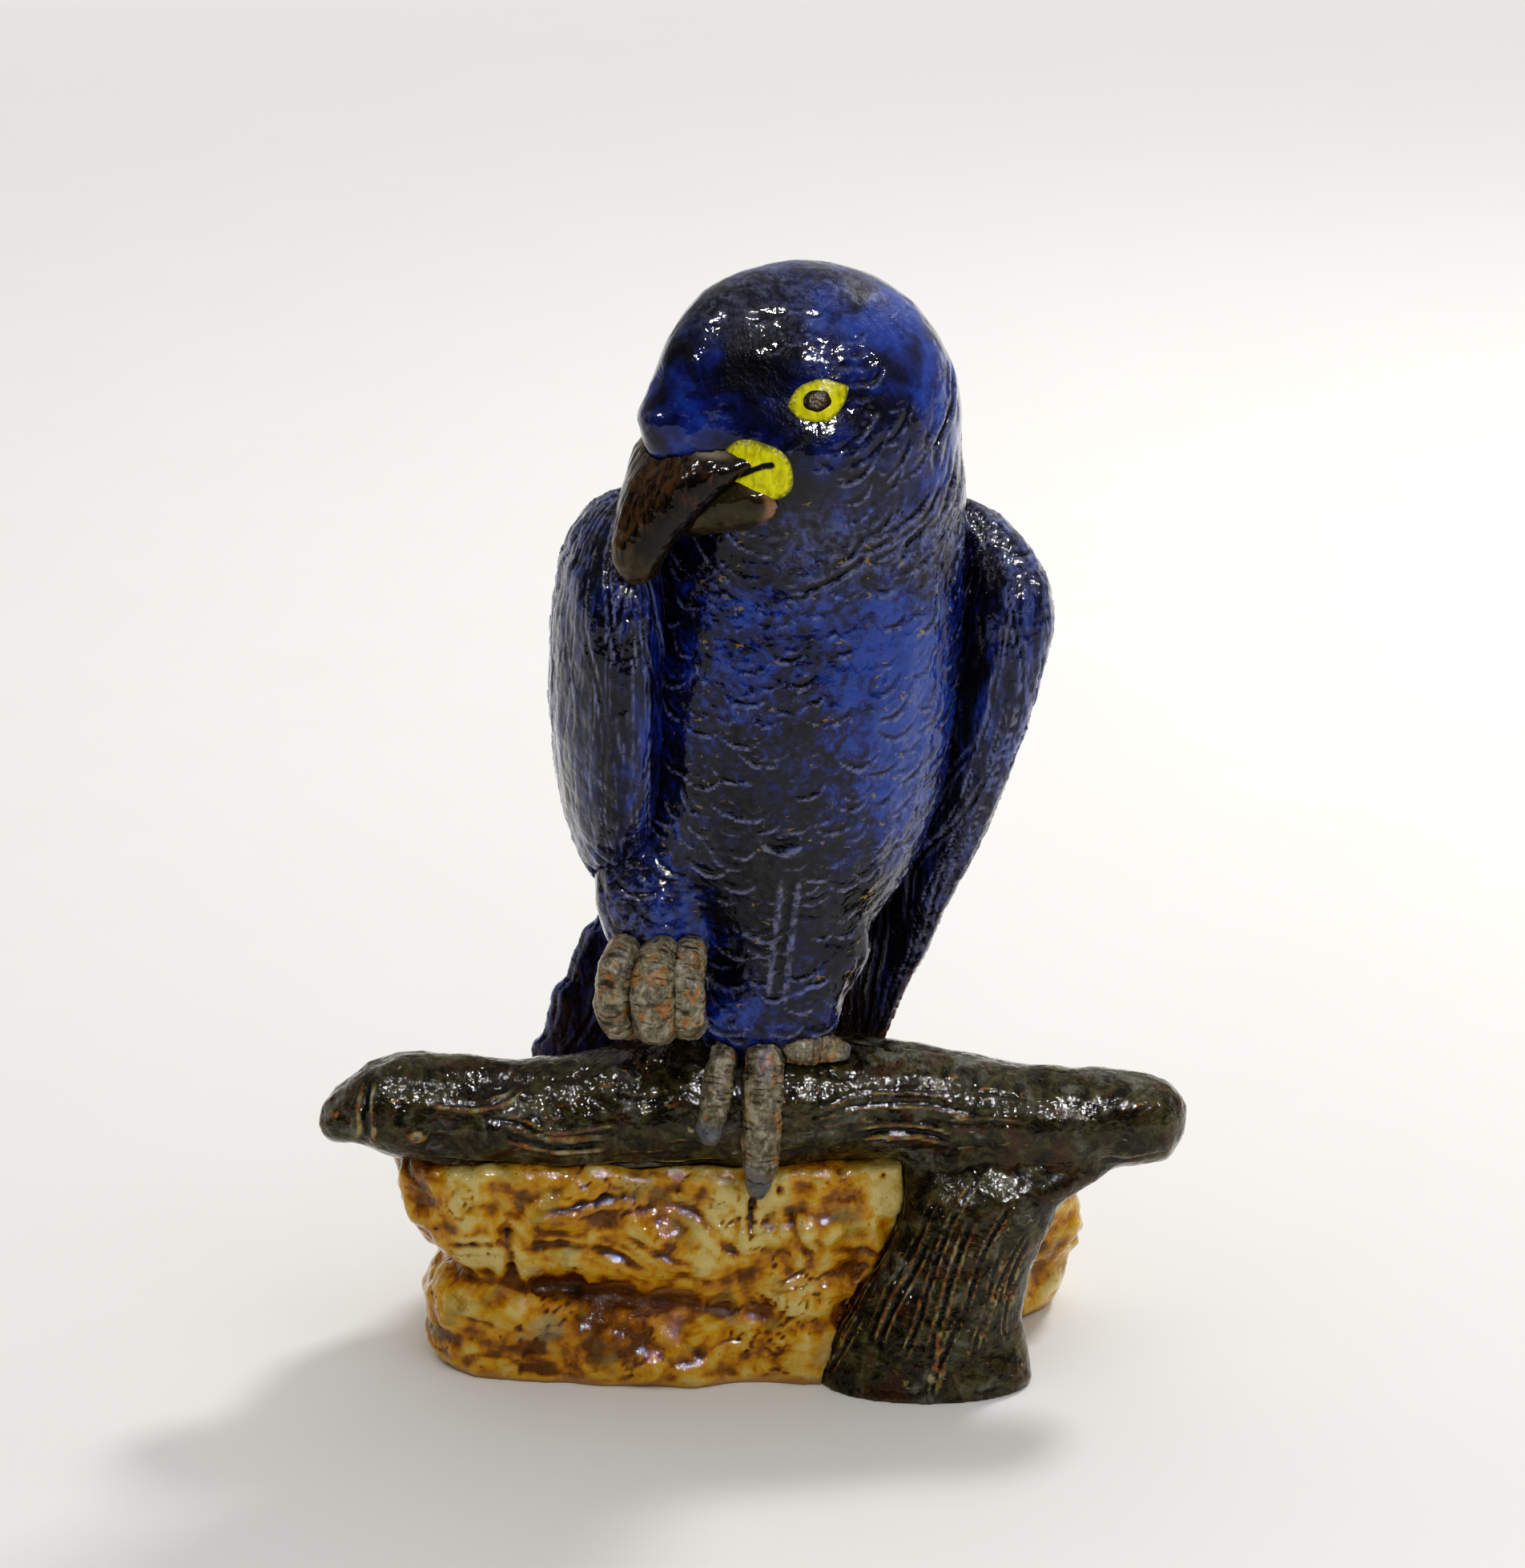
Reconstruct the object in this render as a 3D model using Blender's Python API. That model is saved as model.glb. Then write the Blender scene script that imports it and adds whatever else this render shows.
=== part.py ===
"""A glazed earthenware parrot perched on a branch over a rock, as the separate clay pieces it is luted from.

Run with blender --background --python part.py, or from the text editor. The row frame has +Z up, the floor at
z = 0, the origin under the middle of the figure's box, and the bird's chest towards -Y. "Left" and "right" in
piece names are the bird's own. Shapes are written in millimetres from the middle of the branch's length, and
piece() moves them to the row's origin and turns them into metres.
"""

import math

import bmesh
import bpy
from mathutils import Matrix, Vector, noise

MM = 0.001

# Driving dimensions, in millimetres.
HEIGHT = 260.0  # floor to crown
BRANCH_REACH = 99.5  # centre line to either end of the branch
ROCK_HEIGHT = 55.0
WALL = 6.0  # thickness of the pressed clay walls
ROCK_WALL = 9.0
JOINT_GAP = 0.3  # slip line between two luted pieces
VENT_RADIUS = 3.0  # kiln vent from the torso, through the branch, into the open foot
HEAD_TURN = math.radians(60)  # the head looks this far round to the bird's right
BODY_TURN = math.radians(12)

# Worked out from them.
NECK_Z = 0.79 * HEIGHT
SKULL = Vector((12.0, -4.0, HEIGHT - 37.0))
UP = Vector((0.0, 0.0, 1.0))
HEAD_FRONT = Vector((-math.sin(HEAD_TURN), -math.cos(HEAD_TURN), 0.0))
HEAD_LEFT = UP.cross(HEAD_FRONT)
BODY_LEFT = Vector((math.cos(BODY_TURN), -math.sin(BODY_TURN), 0.0))
BRANCH_Y = -8.0
DATUM = Vector((-0.06, 5.33, 0.0))  # the row's origin, in the coordinates that the shapes are written in
CAVITY_TOP = 0.68 * ROCK_HEIGHT
BEYOND = 400.0  # side of a box that cuts everything past a plane

# Colour, roughness and metallic value of each finish.
FINISHES = {
    "blue_glaze": ((0.018, 0.035, 0.19), 0.15, 0.0),
    "branch_glaze": ((0.05, 0.055, 0.05), 0.18, 0.0),
    "rock_glaze": ((0.50, 0.29, 0.09), 0.20, 0.0),
    "beak_glaze": ((0.045, 0.028, 0.016), 0.15, 0.0),
    "yellow_glaze": ((0.62, 0.60, 0.02), 0.35, 0.0),
    "pupil_glaze": ((0.14, 0.09, 0.04), 0.35, 0.0),
    "foot_glaze": ((0.26, 0.22, 0.16), 0.25, 0.0),
}


# ---------------------------------------------------------------- shapes, as vertex and face lists in millimetres


def spline(rows, steps, closed=False):
    """Catmull-Rom curve through rows of numbers, with this many steps from each row to the next."""
    count = len(rows)
    spans = count if closed else count - 1
    curve = []
    for i in range(spans):
        near = [rows[k % count] if closed else rows[min(max(k, 0), count - 1)] for k in range(i - 1, i + 3)]
        for step in range(steps):
            t = step / steps
            curve.append([catmull_rom(*values, t) for values in zip(*near)])
    if not closed:
        curve.append(list(rows[-1]))
    return curve


def catmull_rom(a, b, c, d, t):
    return 0.5 * (2 * b + (c - a) * t + (2 * a - 5 * b + 4 * c - d) * t * t + (3 * b - a - 3 * c + d) * t ** 3)


def skin(rings):
    """Vertices and faces of a closed skin over rings of points, with a point at the middle of each end."""
    sides = len(rings[0])
    points = [point for ring in rings for point in ring]
    faces = []
    for r in range(len(rings) - 1):
        for s in range(sides):
            a, b = r * sides + s, r * sides + (s + 1) % sides
            faces.append((a, b, b + sides, a + sides))
    for ring, first in ((rings[0], 0), (rings[-1], (len(rings) - 1) * sides)):
        pole = len(points)
        points.append(sum(ring, Vector()) / sides)
        for s in range(sides):
            faces.append((first + s, first + (s + 1) % sides, pole))
    return points, faces


def limb(rows, side, sides=16, steps=3):
    """A skin of ellipses square to a path. A row is x, y, z, half width along side, half thickness across it."""
    path = spline(rows, steps)
    centres = [Vector(row[:3]) for row in path]
    rings = []
    for i, row in enumerate(path):
        along = (centres[min(i + 1, len(path) - 1)] - centres[max(i - 1, 0)]).normalized()
        across = (side - along * side.dot(along)).normalized()
        out = along.cross(across)
        rings.append([
            centres[i] + across * row[3] * math.cos(turn) + out * row[4] * math.sin(turn)
            for turn in turns(sides)
        ])
    return skin(rings)


def tube(rows, sides=10, steps=3, side=Vector((1.0, 0.0, 0.0))):
    """A round limb. A row is x, y, z, radius."""
    return limb([(*row, row[3]) for row in rows], side, sides, steps)


def stack(rows, side, sides=28, steps=2):
    """A skin of level ovals. A row is z, x, y, half width along side, half depth in front, half depth behind."""
    behind = UP.cross(side)
    rings = []
    for z, x, y, half_width, front, back in spline(rows, steps):
        centre = Vector((x, y, z))
        rings.append([
            centre
            + side * half_width * math.cos(turn)
            + behind * (back if math.sin(turn) > 0 else front) * math.sin(turn)
            for turn in turns(sides)
        ])
    return skin(rings)


def turns(sides):
    return [2 * math.pi * s / sides for s in range(sides)]


def ball(centre, along, left, radii, segments=20, rings=12):
    """An ellipsoid whose radii run along, to the left and up."""
    axes = Matrix((along, left, along.cross(left))).transposed()
    mesh = bmesh.new()
    bmesh.ops.create_uvsphere(mesh, u_segments=segments, v_segments=rings, radius=1.0)
    points = [centre + axes @ Vector(c * r for c, r in zip(v.co, radii)) for v in mesh.verts]
    faces = [tuple(v.index for v in face.verts) for face in mesh.faces]
    mesh.free()
    return points, faces


# ---------------------------------------------------------------- objects


def finish(name):
    """The named material, made on first use."""
    material = bpy.data.materials.get(name)
    if material is None:
        colour, roughness, metallic = FINISHES[name]
        material = bpy.data.materials.new(name)
        material.use_nodes = True
        shader = material.node_tree.nodes["Principled BSDF"]
        shader.inputs["Base Color"].default_value = (*colour, 1.0)
        shader.inputs["Roughness"].default_value = roughness
        shader.inputs["Metallic"].default_value = metallic
        material.diffuse_color = (*colour, 1.0)
    return material


def piece(name, glaze, *shapes):
    """One object from one or more overlapping shapes."""
    mesh = bpy.data.meshes.new(name)
    points, faces = [], []
    for shape_points, shape_faces in shapes:
        first = len(points)
        points += [(point - DATUM) * MM for point in shape_points]
        faces += [tuple(first + index for index in face) for face in shape_faces]
    mesh.from_pydata(points, [], faces)
    clean = bmesh.new()
    clean.from_mesh(mesh)
    bmesh.ops.recalc_face_normals(clean, faces=clean.faces)
    clean.to_mesh(mesh)
    clean.free()
    mesh.shade_smooth()
    obj = bpy.data.objects.new(name, mesh)
    bpy.context.scene.collection.objects.link(obj)
    if glaze:
        mesh.materials.append(finish(glaze))
    return obj


def helper(obj):
    """Marks an object as a cutter, which is not part of the figure."""
    obj.hide_render = True
    obj.display_type = "WIRE"
    return obj


def knead(obj, voxel, smoothing):
    """Fuses an object's overlapping shapes into one lump and rounds the creases between them."""
    fused = obj.modifiers.new("fused", "REMESH")
    fused.mode = "VOXEL"
    fused.voxel_size = voxel * MM
    fused.use_smooth_shade = True
    rounded = obj.modifiers.new("rounded", "SMOOTH")
    rounded.factor = 0.5
    rounded.iterations = smoothing
    return obj


def grown(obj, amount, name):
    """A hidden copy of the lump before its cuts, grown by this many millimetres all over."""
    copy = bpy.data.objects.new(name, obj.data)
    bpy.context.scene.collection.objects.link(copy)
    if "fused" in obj.modifiers:
        knead(copy, obj.modifiers["fused"].voxel_size / MM, obj.modifiers["rounded"].iterations)
    offset = copy.modifiers.new("offset", "DISPLACE")
    offset.mid_level = 0.0
    offset.strength = amount * MM
    for modifier in obj.modifiers:
        if modifier.type == "BOOLEAN" and modifier.operation == "UNION":
            fuse(copy, grown(modifier.object, amount, name + "_" + modifier.object.name))
    return helper(copy)


def cut(obj, *cutters, solver="EXACT"):
    for cutter in cutters:
        boolean = obj.modifiers.new("cut_" + cutter.name, "BOOLEAN")
        boolean.operation = "DIFFERENCE"
        boolean.solver = solver
        boolean.object = cutter


def fuse(obj, addition):
    """Welds a helper's shape onto a piece."""
    union = obj.modifiers.new("with_" + addition.name, "BOOLEAN")
    union.operation = "UNION"
    union.object = addition


def half_space(name, z, upward):
    """A box whose face at this height cuts away everything above it, or everything below."""
    centre = Vector((0.0, 0.0, z + (0.5 if upward else -0.5) * BEYOND))
    mesh = bmesh.new()
    bmesh.ops.create_cube(mesh, size=BEYOND)
    points = [centre + v.co for v in mesh.verts]
    faces = [tuple(v.index for v in face.verts) for face in mesh.faces]
    mesh.free()
    return helper(piece(name, None, (points, faces)))


def seat(obj, *neighbours):
    """Cuts a piece back to a slip line's width from the neighbours that it is luted on.

    The EXACT solver drops some of these seats whole, so they take MANIFOLD. Both meshes of every seat are closed.
    """
    for neighbour in neighbours:
        name = "seat_" + neighbour.name
        cutter = bpy.data.objects.get(name) or grown(neighbour, JOINT_GAP, name)
        cut(obj, cutter, solver="MANIFOLD")


def surface_point(obj, start, direction):
    """Where a ray from start, in millimetres, comes in through the object's skin, and the skin's direction there."""
    graph = bpy.context.evaluated_depsgraph_get()
    found, point, normal, _ = obj.evaluated_get(graph).ray_cast((start - DATUM) * MM, direction)
    if not found:
        raise ValueError("the ray misses " + obj.name)
    return point / MM + DATUM, normal


# ---------------------------------------------------------------- the base


def make_branch():
    """The thick broken branch that lies across the rock."""
    y = BRANCH_Y
    rows = [
        (-BRANCH_REACH + 0.7, y - 2, 60.0, 2.5, 2.5),
        (-97.0, y - 2, 60.6, 6.3, 4.9),
        (-90.5, y - 1, 63.0, 10.2, 8.0),
        (-82.0, y, 63.8, 12.8, 12.2),
        (-68.0, y, 62.8, 13.0, 12.8),
        (-53.0, y, 61.6, 13.0, 12.3),
        (-35.0, y, 62.5, 14.0, 13.5),
        (-16.0, y, 64.5, 15.0, 15.0),
        (5.0, y, 65.5, 15.5, 15.5),
        (28.0, y, 65.6, 15.0, 13.5),
        (45.0, y, 63.8, 14.0, 12.2),
        (60.0, y, 62.5, 13.0, 11.0),
        (74.0, y, 60.8, 12.0, 10.4),
        (86.0, y, 60.2, 11.5, 10.8),
        (95.0, y, 60.3, 8.5, 8.8),
        (BRANCH_REACH, y, 60.0, 2.5, 3.0),
    ]
    return piece("branch", "branch_glaze", limb(rows, Vector((0.0, 1.0, 0.0)), sides=20, steps=2))


def make_stump():
    """The flared limb that carries the branch's right end down to the floor, in front of the rock."""
    rows = [
        (0.0, 40.0, -21.0, 24.5, 13.0, 11.0),
        (5.0, 40.3, -20.5, 23.6, 12.6, 11.0),
        (15.0, 42.0, -19.5, 20.6, 11.6, 10.5),
        (27.0, 46.0, -18.0, 18.0, 10.8, 10.0),
        (37.0, 50.3, -16.5, 17.3, 10.4, 10.0),
        (44.0, 53.5, -14.8, 18.6, 10.0, 10.5),
        (50.0, 58.5, -12.5, 24.0, 9.2, 10.5),
        (55.0, 62.0, -10.5, 27.0, 8.0, 9.5),
        (62.0, 60.0, -9.0, 18.0, 6.0, 7.0),
    ]
    return piece("stump", "branch_glaze", stack(rows, Vector((1.0, 0.0, 0.0)), sides=24, steps=2))


def rock_outline(level):
    """Plan outline of the rock at a height: pinched at the left end, cut back at the right front, lumpy all round."""
    plan = [
        (-0.94, -0.68), (-0.74, -0.92), (-0.40, -1.0), (-0.07, -1.0), (0.28, -0.92), (0.57, -0.48),
        (0.84, 0.16), (1.0, 0.50), (0.88, 0.84), (0.50, 1.0), (0.05, 1.0), (-0.38, 0.98), (-0.78, 0.86),
        (-0.98, 0.42), (-1.0, -0.16),
    ]
    reach = [
        (0.0, 73.0, 71.0, 24.5, 38.0), (5.0, 75.5, 74.0, 25.0, 38.0), (12.0, 77.0, 75.5, 23.5, 37.0),
        (19.0, 75.0, 76.5, 21.8, 36.0), (25.0, 71.0, 77.0, 21.0, 35.5), (31.0, 76.0, 77.5, 21.5, 36.0),
        (37.0, 81.5, 77.0, 22.0, 36.0), (45.0, 83.5, 75.0, 21.5, 35.0), (ROCK_HEIGHT, 82.0, 70.0, 19.5, 33.0),
    ]
    _, left, right, front, back = at_height(reach, level)
    ring = []
    for x_share, y_share in spline(plan, 3, closed=True):
        x = x_share * (left if x_share < 0 else right)
        y = y_share * (front if y_share < 0 else back)
        away = Vector((x, y)).normalized() * 2.4 * noise.noise(Vector((x, y, 1.6 * level)) * 0.045)
        ring.append(Vector((x + away.x, y + away.y, level)))
    return ring


def at_height(rows, level):
    """The row of numbers at a level, in a straight line between the rows above and below it."""
    for low, high in zip(rows, rows[1:]):
        if level <= high[0]:
            share = (level - low[0]) / (high[0] - low[0])
            return [a + (b - a) * share for a, b in zip(low, high)]
    return rows[-1]


def make_rock():
    """The rough block that everything stands on, open underneath."""
    levels = [ROCK_HEIGHT * share for share in (0.0, 0.09, 0.2, 0.3, 0.38, 0.46, 0.56, 0.68, 0.8, 0.92)]
    rings = [rock_outline(level) for level in levels]
    middle = Vector((-5.0, 6.0, ROCK_HEIGHT))
    top = [middle + (point - middle) * 0.86 for point in rock_outline(levels[-1])]
    for point in top:
        point.z = ROCK_HEIGHT - 1.5 + 1.5 * noise.noise(point * 0.05)
    return piece("rock_base", "rock_glaze", skin(rings + [top]))


def hollow_rock(rock):
    """Opens the underside, leaving a foot rim as thick as the rock's wall."""
    rings = []
    for level, share in ((-2.0, 1.0), (4.0, 1.0), (0.7 * CAVITY_TOP, 0.96), (CAVITY_TOP, 0.8)):
        ring = rock_outline(0.46 * ROCK_HEIGHT)
        rings.append([inset(point, ROCK_WALL, share, level) for point in ring[::2]])
    cut(rock, helper(piece("rock_cavity", None, skin(rings))))


def inset(point, wall, share, level):
    """An outline point moved in by the wall's thickness, drawn towards the middle and set at a level."""
    middle = Vector((-4.0, 6.0))
    away = Vector(point[:2]) - middle
    away.length -= wall
    return Vector((*(middle + away * share), level))


# ---------------------------------------------------------------- the bird


def torso_rows():
    """Level sections of the chest, belly and neck, from the vent up."""
    return [
        (76.0, 3.0, -4.0, 8.0, 7.0, 9.0),
        (82.0, 3.0, -3.5, 12.0, 11.0, 13.0),
        (91.0, 3.0, -2.0, 15.0, 15.0, 17.0),
        (98.0, 3.2, -1.0, 18.0, 18.5, 20.5),
        (106.0, 3.6, 0.0, 23.0, 22.5, 24.0),
        (114.0, 4.0, 1.0, 28.5, 26.0, 27.0),
        (124.0, 4.8, 1.5, 33.0, 29.5, 29.5),
        (138.0, 6.0, 2.0, 36.5, 32.5, 31.5),
        (154.0, 8.0, 2.0, 37.8, 34.0, 33.0),
        (170.0, 9.5, 1.0, 37.5, 34.0, 33.0),
        (186.0, 11.0, 0.0, 36.0, 32.0, 32.0),
        (200.0, 12.5, -1.0, 34.5, 30.5, 31.5),
        (212.0, 12.5, -2.0, 32.0, 29.0, 29.0),
        (221.0, 12.5, -3.0, 22.0, 20.0, 20.0),
    ]


def make_torso():
    """Chest, belly and neck, with the rump that the tail hangs from."""
    torso = piece("torso", "blue_glaze", stack(torso_rows(), BODY_LEFT, sides=28, steps=2))
    rump = [
        (7.0, 12.0, 136.0, 14.0, 10.0),
        (6.5, 17.0, 122.0, 21.0, 13.0),
        (5.5, 22.0, 106.0, 23.0, 11.0),
        (6.0, 25.5, 92.0, 22.5, 8.5),
        (6.5, 28.0, 80.0, 21.0, 6.5),
        (6.5, 29.5, 70.0, 20.0, 4.8),
        (6.5, 30.5, 63.0, 15.0, 3.2),
        (6.5, 31.0, 60.0, 6.0, 1.6),
    ]
    fuse(torso, helper(piece("rump", None, limb(rump, BODY_LEFT, sides=20, steps=2))))
    return torso


def hollow_torso(torso):
    """Leaves a wall all round the chest and belly, open at the neck."""
    rows = [(z, x, y, *(size - WALL for size in sizes)) for z, x, y, *sizes in torso_rows() if z > 90.0]
    cut(torso, helper(piece("torso_cavity", None, stack(rows, BODY_LEFT, sides=14, steps=1))))


def at_head(forward, left, up):
    """A point given forward, to the bird's left and up from the skull's middle."""
    return SKULL + HEAD_FRONT * forward + HEAD_LEFT * left + UP * up


def make_head():
    """Skull, sloping forehead, cheeks and neck as one thrown lump."""
    f, l = HEAD_FRONT, HEAD_LEFT
    shapes = [
        ball(at_head(-2, 0, 2), f, l, (33.5, 31.5, 35.5)),
        ball(at_head(12, 0, 7.5), f, l, (27.0, 17.5, 29.5)),
        ball(at_head(26, 0, 6.5), f, l, (16.5, 12.0, 11.0)),
        ball(at_head(-6, 0, -14), f, l, (30.5, 31.5, 26.0)),
        stack(
            [(190.0, 11.5, -1.0, 31.5, 29.0, 30.0), (200.0, 12.0, -1.0, 33.0, 30.0, 31.0),
             (214.0, 12.0, -2.0, 32.0, 29.0, 30.0)],
            BODY_LEFT,
        ),
    ]
    return knead(piece("head", "blue_glaze", *shapes), 4.4, 3)


def hollow_head(head):
    """Leaves a wall all round the head, open at the neck."""
    radii = Vector((33.5, 31.5, 35.5)) - Vector((WALL, WALL, WALL))
    throat = [(180.0, 12.0, -1.0, 22.0, 20.0, 20.0), (214.0, 12.0, -2.0, 23.0, 21.0, 21.0)]
    skull = piece("head_cavity", None, ball(at_head(-2, 0, 2), HEAD_FRONT, HEAD_LEFT, radii, 14, 8))
    fuse(skull, helper(piece("throat", None, stack(throat, BODY_LEFT, sides=14, steps=1))))
    cut(head, helper(skull))


def head_limb(rows, **counts):
    """A limb in the head's middle plane. A row is forward, up, half width sideways, half thickness."""
    path = [(*at_head(forward, 0, up), width, thickness) for forward, up, width, thickness in rows]
    return limb(path, HEAD_LEFT, **counts)


def make_upper_beak():
    """The long hooked upper mandible."""
    rows = [
        (17.5, 1.8, 12.6, 2.2),
        (22.3, 1.7, 19.0, 3.0),
        (27.8, 0.0, 18.2, 5.6),
        (32.7, -3.9, 15.6, 7.5),
        (37.4, -10.6, 11.2, 7.3),
        (41.2, -17.2, 7.8, 6.4),
        (42.4, -22.4, 5.8, 5.4),
        (41.6, -26.6, 3.4, 3.4),
    ]
    return piece("upper_beak", "beak_glaze", head_limb(rows, sides=20, steps=2))


def make_lower_beak():
    """The short scooped lower mandible, tucked under the hook."""
    rows = [
        (14.5, -7.6, 14.0, 5.0),
        (18.0, -7.8, 20.5, 8.0),
        (22.0, -7.9, 21.4, 9.6),
        (26.0, -9.2, 19.0, 9.2),
        (30.4, -11.4, 14.4, 7.6),
        (34.0, -14.0, 8.8, 5.2),
        (36.2, -15.6, 4.2, 3.2),
    ]
    return piece("lower_beak", "beak_glaze", head_limb(rows, sides=20, steps=2))


def face_pad(name, glaze, head, forward, up, side, radii, tilt=0.0):
    """A low oval pad pressed on the side of the head. Its radii run forward, up and out."""
    outward = HEAD_LEFT * side
    point, normal = surface_point(head, at_head(forward, 60.0 * side, up), -outward)
    ahead = (HEAD_FRONT - normal * HEAD_FRONT.dot(normal)).normalized()
    ahead = (Matrix.Rotation(tilt * side, 3, normal) @ ahead).normalized()
    return piece(name, glaze, ball(point, ahead, normal, (radii[0], radii[2], radii[1]), 16, 8))


def make_face(head, upper_beak, lower_beak):
    """The bare yellow skin at each corner of the beak, and each eye's ring and pupil."""
    for label, side in (("left", 1), ("right", -1)):
        gape = face_pad("gape_skin_" + label, "yellow_glaze", head, 23.3, -0.6, side, (8.0, 7.5, 2.4))
        seat(gape, head, upper_beak, lower_beak)
        tilt = math.radians(6)
        ring = face_pad("eye_ring_" + label, "yellow_glaze", head, 11.4, 14.7, side, (6.4, 4.5, 1.9), tilt)
        pupil = face_pad("pupil_" + label, "pupil_glaze", head, 11.7, 14.7, side, (3.6, 2.7, 2.4), tilt)
        seat(ring, head, pupil)
        seat(pupil, head)


def make_left_wing():
    """The wing on the viewer's right, folded against the flank and seen nearly edge on."""
    rows = [
        (51.5, 3.0, 199.5, 8.5, 3.0),
        (51.5, 6.0, 196.0, 15.5, 7.0),
        (51.3, 9.5, 186.0, 23.0, 11.5),
        (46.7, 13.0, 170.0, 27.5, 11.0),
        (40.7, 16.2, 151.0, 28.5, 10.0),
        (34.8, 19.5, 131.0, 27.5, 8.6),
        (30.6, 21.7, 112.0, 23.0, 7.0),
        (27.6, 22.3, 94.0, 17.5, 5.6),
        (25.2, 22.2, 80.0, 12.5, 4.4),
        (24.4, 22.4, 70.0, 9.5, 3.6),
        (24.0, 22.5, 64.0, 4.0, 2.0),
    ]
    return piece("wing_left", "blue_glaze", limb(rows, Vector((-0.6, 0.8, 0.0)), sides=20, steps=2))


def make_right_wing():
    """The wing on the viewer's left: a broad fold of coverts in front, long feathers passing behind."""
    coverts = [
        (-25.0, -4.0, 208.0, 6.0, 3.0),
        (-28.5, -5.0, 203.0, 13.0, 7.5),
        (-31.3, -6.5, 192.0, 19.0, 11.0),
        (-32.3, -7.5, 175.0, 22.0, 12.0),
        (-32.5, -7.0, 157.0, 22.0, 12.0),
        (-32.3, -5.5, 141.0, 20.0, 11.0),
        (-32.5, -4.0, 128.0, 14.5, 8.5),
        (-34.0, -3.0, 120.5, 7.0, 4.0),
        (-34.5, -3.0, 118.0, 2.5, 1.5),
    ]
    primaries = [
        (-33.0, 6.5, 190.0, 12.0, 5.0),
        (-32.5, 10.5, 172.0, 19.0, 6.5),
        (-30.5, 16.0, 150.0, 22.0, 6.5),
        (-26.5, 22.5, 130.0, 21.0, 6.0),
        (-21.5, 28.5, 110.0, 17.0, 5.0),
        (-17.5, 32.0, 92.0, 12.0, 4.2),
        (-14.5, 33.5, 80.0, 6.5, 3.2),
        (-13.5, 33.8, 75.0, 2.5, 1.8),
    ]
    wing = piece("wing_right", "blue_glaze", limb(coverts, Vector((-0.30, 1.0, 0.0)), sides=18, steps=2))
    long_feathers = limb(primaries, Vector((0.45, 1.0, 0.0)), sides=14, steps=2)
    fuse(wing, helper(piece("right_primaries", None, long_feathers)))
    return wing


def make_tail():
    """The long tail slab that slants down behind the branch to the rock's back edge."""
    rows = [
        (3.0, 28.0, 134.0, 12.0, 4.0),
        (0.0, 32.0, 124.0, 20.0, 6.5),
        (-10.0, 37.0, 104.0, 21.0, 6.5),
        (-22.0, 41.0, 84.0, 19.5, 5.5),
        (-32.5, 44.0, 64.0, 17.5, 4.8),
        (-41.5, 45.5, 44.0, 14.5, 4.2),
        (-48.5, 45.5, 28.0, 10.5, 3.6),
        (-53.0, 45.0, 17.0, 6.5, 3.0),
        (-55.0, 44.8, 12.5, 2.0, 1.6),
    ]
    return piece("tail", "blue_glaze", limb(rows, Vector((1.0, 0.1, 0.45)), sides=16, steps=2))


def make_right_thigh():
    """The lifted leg's feathered thigh, a bulge low on the flank."""
    rows = [
        (-18.0, -3.0, 134.0, 9.0, 8.0),
        (-20.5, -7.0, 126.0, 14.0, 12.5),
        (-21.5, -12.0, 115.0, 14.0, 13.0),
        (-21.0, -16.5, 105.0, 10.5, 10.0),
        (-20.5, -18.5, 100.0, 6.0, 5.5),
    ]
    return piece("thigh_right", "blue_glaze", limb(rows, Vector((1.0, 0.0, 0.0)), sides=18, steps=2))


def make_left_thigh():
    """The standing leg's thigh, tapering onto the branch."""
    rows = [
        (15.0, -10.0, 122.0, 8.0, 7.0),
        (13.0, -12.0, 112.0, 14.0, 10.5),
        (11.0, -13.0, 102.0, 15.5, 10.5),
        (3.6, -12.8, 91.0, 16.6, 9.8),
        (2.4, -12.3, 85.5, 15.6, 8.8),
        (2.4, -12.0, 80.0, 12.0, 7.0),
    ]
    return piece("thigh_left", "blue_glaze", limb(rows, Vector((1.0, 0.0, 0.0)), sides=16, steps=2))


def standing_toe(name, rows):
    return piece("standing_toe_" + name, "foot_glaze", tube(rows, sides=10, steps=3))


def make_standing_foot():
    """Two toes over the front of the branch, one along it and one behind, with the claw in each tip."""
    y = BRANCH_Y
    return [
        standing_toe("front_outer", [
            (3.0, y - 5, 84.0, 4.0), (2.7, y - 12, 80.5, 4.6), (2.3, y - 16, 72.0, 4.5), (2.0, y - 17, 63.0, 4.4),
            (1.6, y - 16, 55.5, 3.9), (1.2, y - 14.3, 50.5, 2.8), (0.8, y - 13.3, 47.0, 1.3),
        ]),
        standing_toe("front_inner", [
            (-5.0, y - 7, 83.0, 2.6), (-7.0, y - 12, 79.0, 3.4), (-8.4, y - 15.4, 72.5, 3.4),
            (-9.4, y - 16.2, 67.0, 3.3), (-9.9, y - 16, 63.5, 3.0), (-10.0, y - 15.8, 61.3, 1.8),
        ]),
        standing_toe("rear_outer", [
            (4.5, y - 7, 83.0, 3.2), (9.0, y - 9, 82.6, 4.5), (14.0, y - 9.2, 82.2, 4.2), (18.4, y - 8.8, 81.4, 3.0),
            (21.4, y - 8.4, 80.6, 1.3),
        ]),
        standing_toe("rear_inner", [
            (1.0, y + 7, 82.0, 2.6), (0.0, y + 12, 78.5, 4.0), (-1.0, y + 15.5, 71.0, 3.9), (-1.5, y + 16, 63.0, 3.4),
            (-2.0, y + 14.5, 56.5, 1.4),
        ]),
    ]


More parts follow.
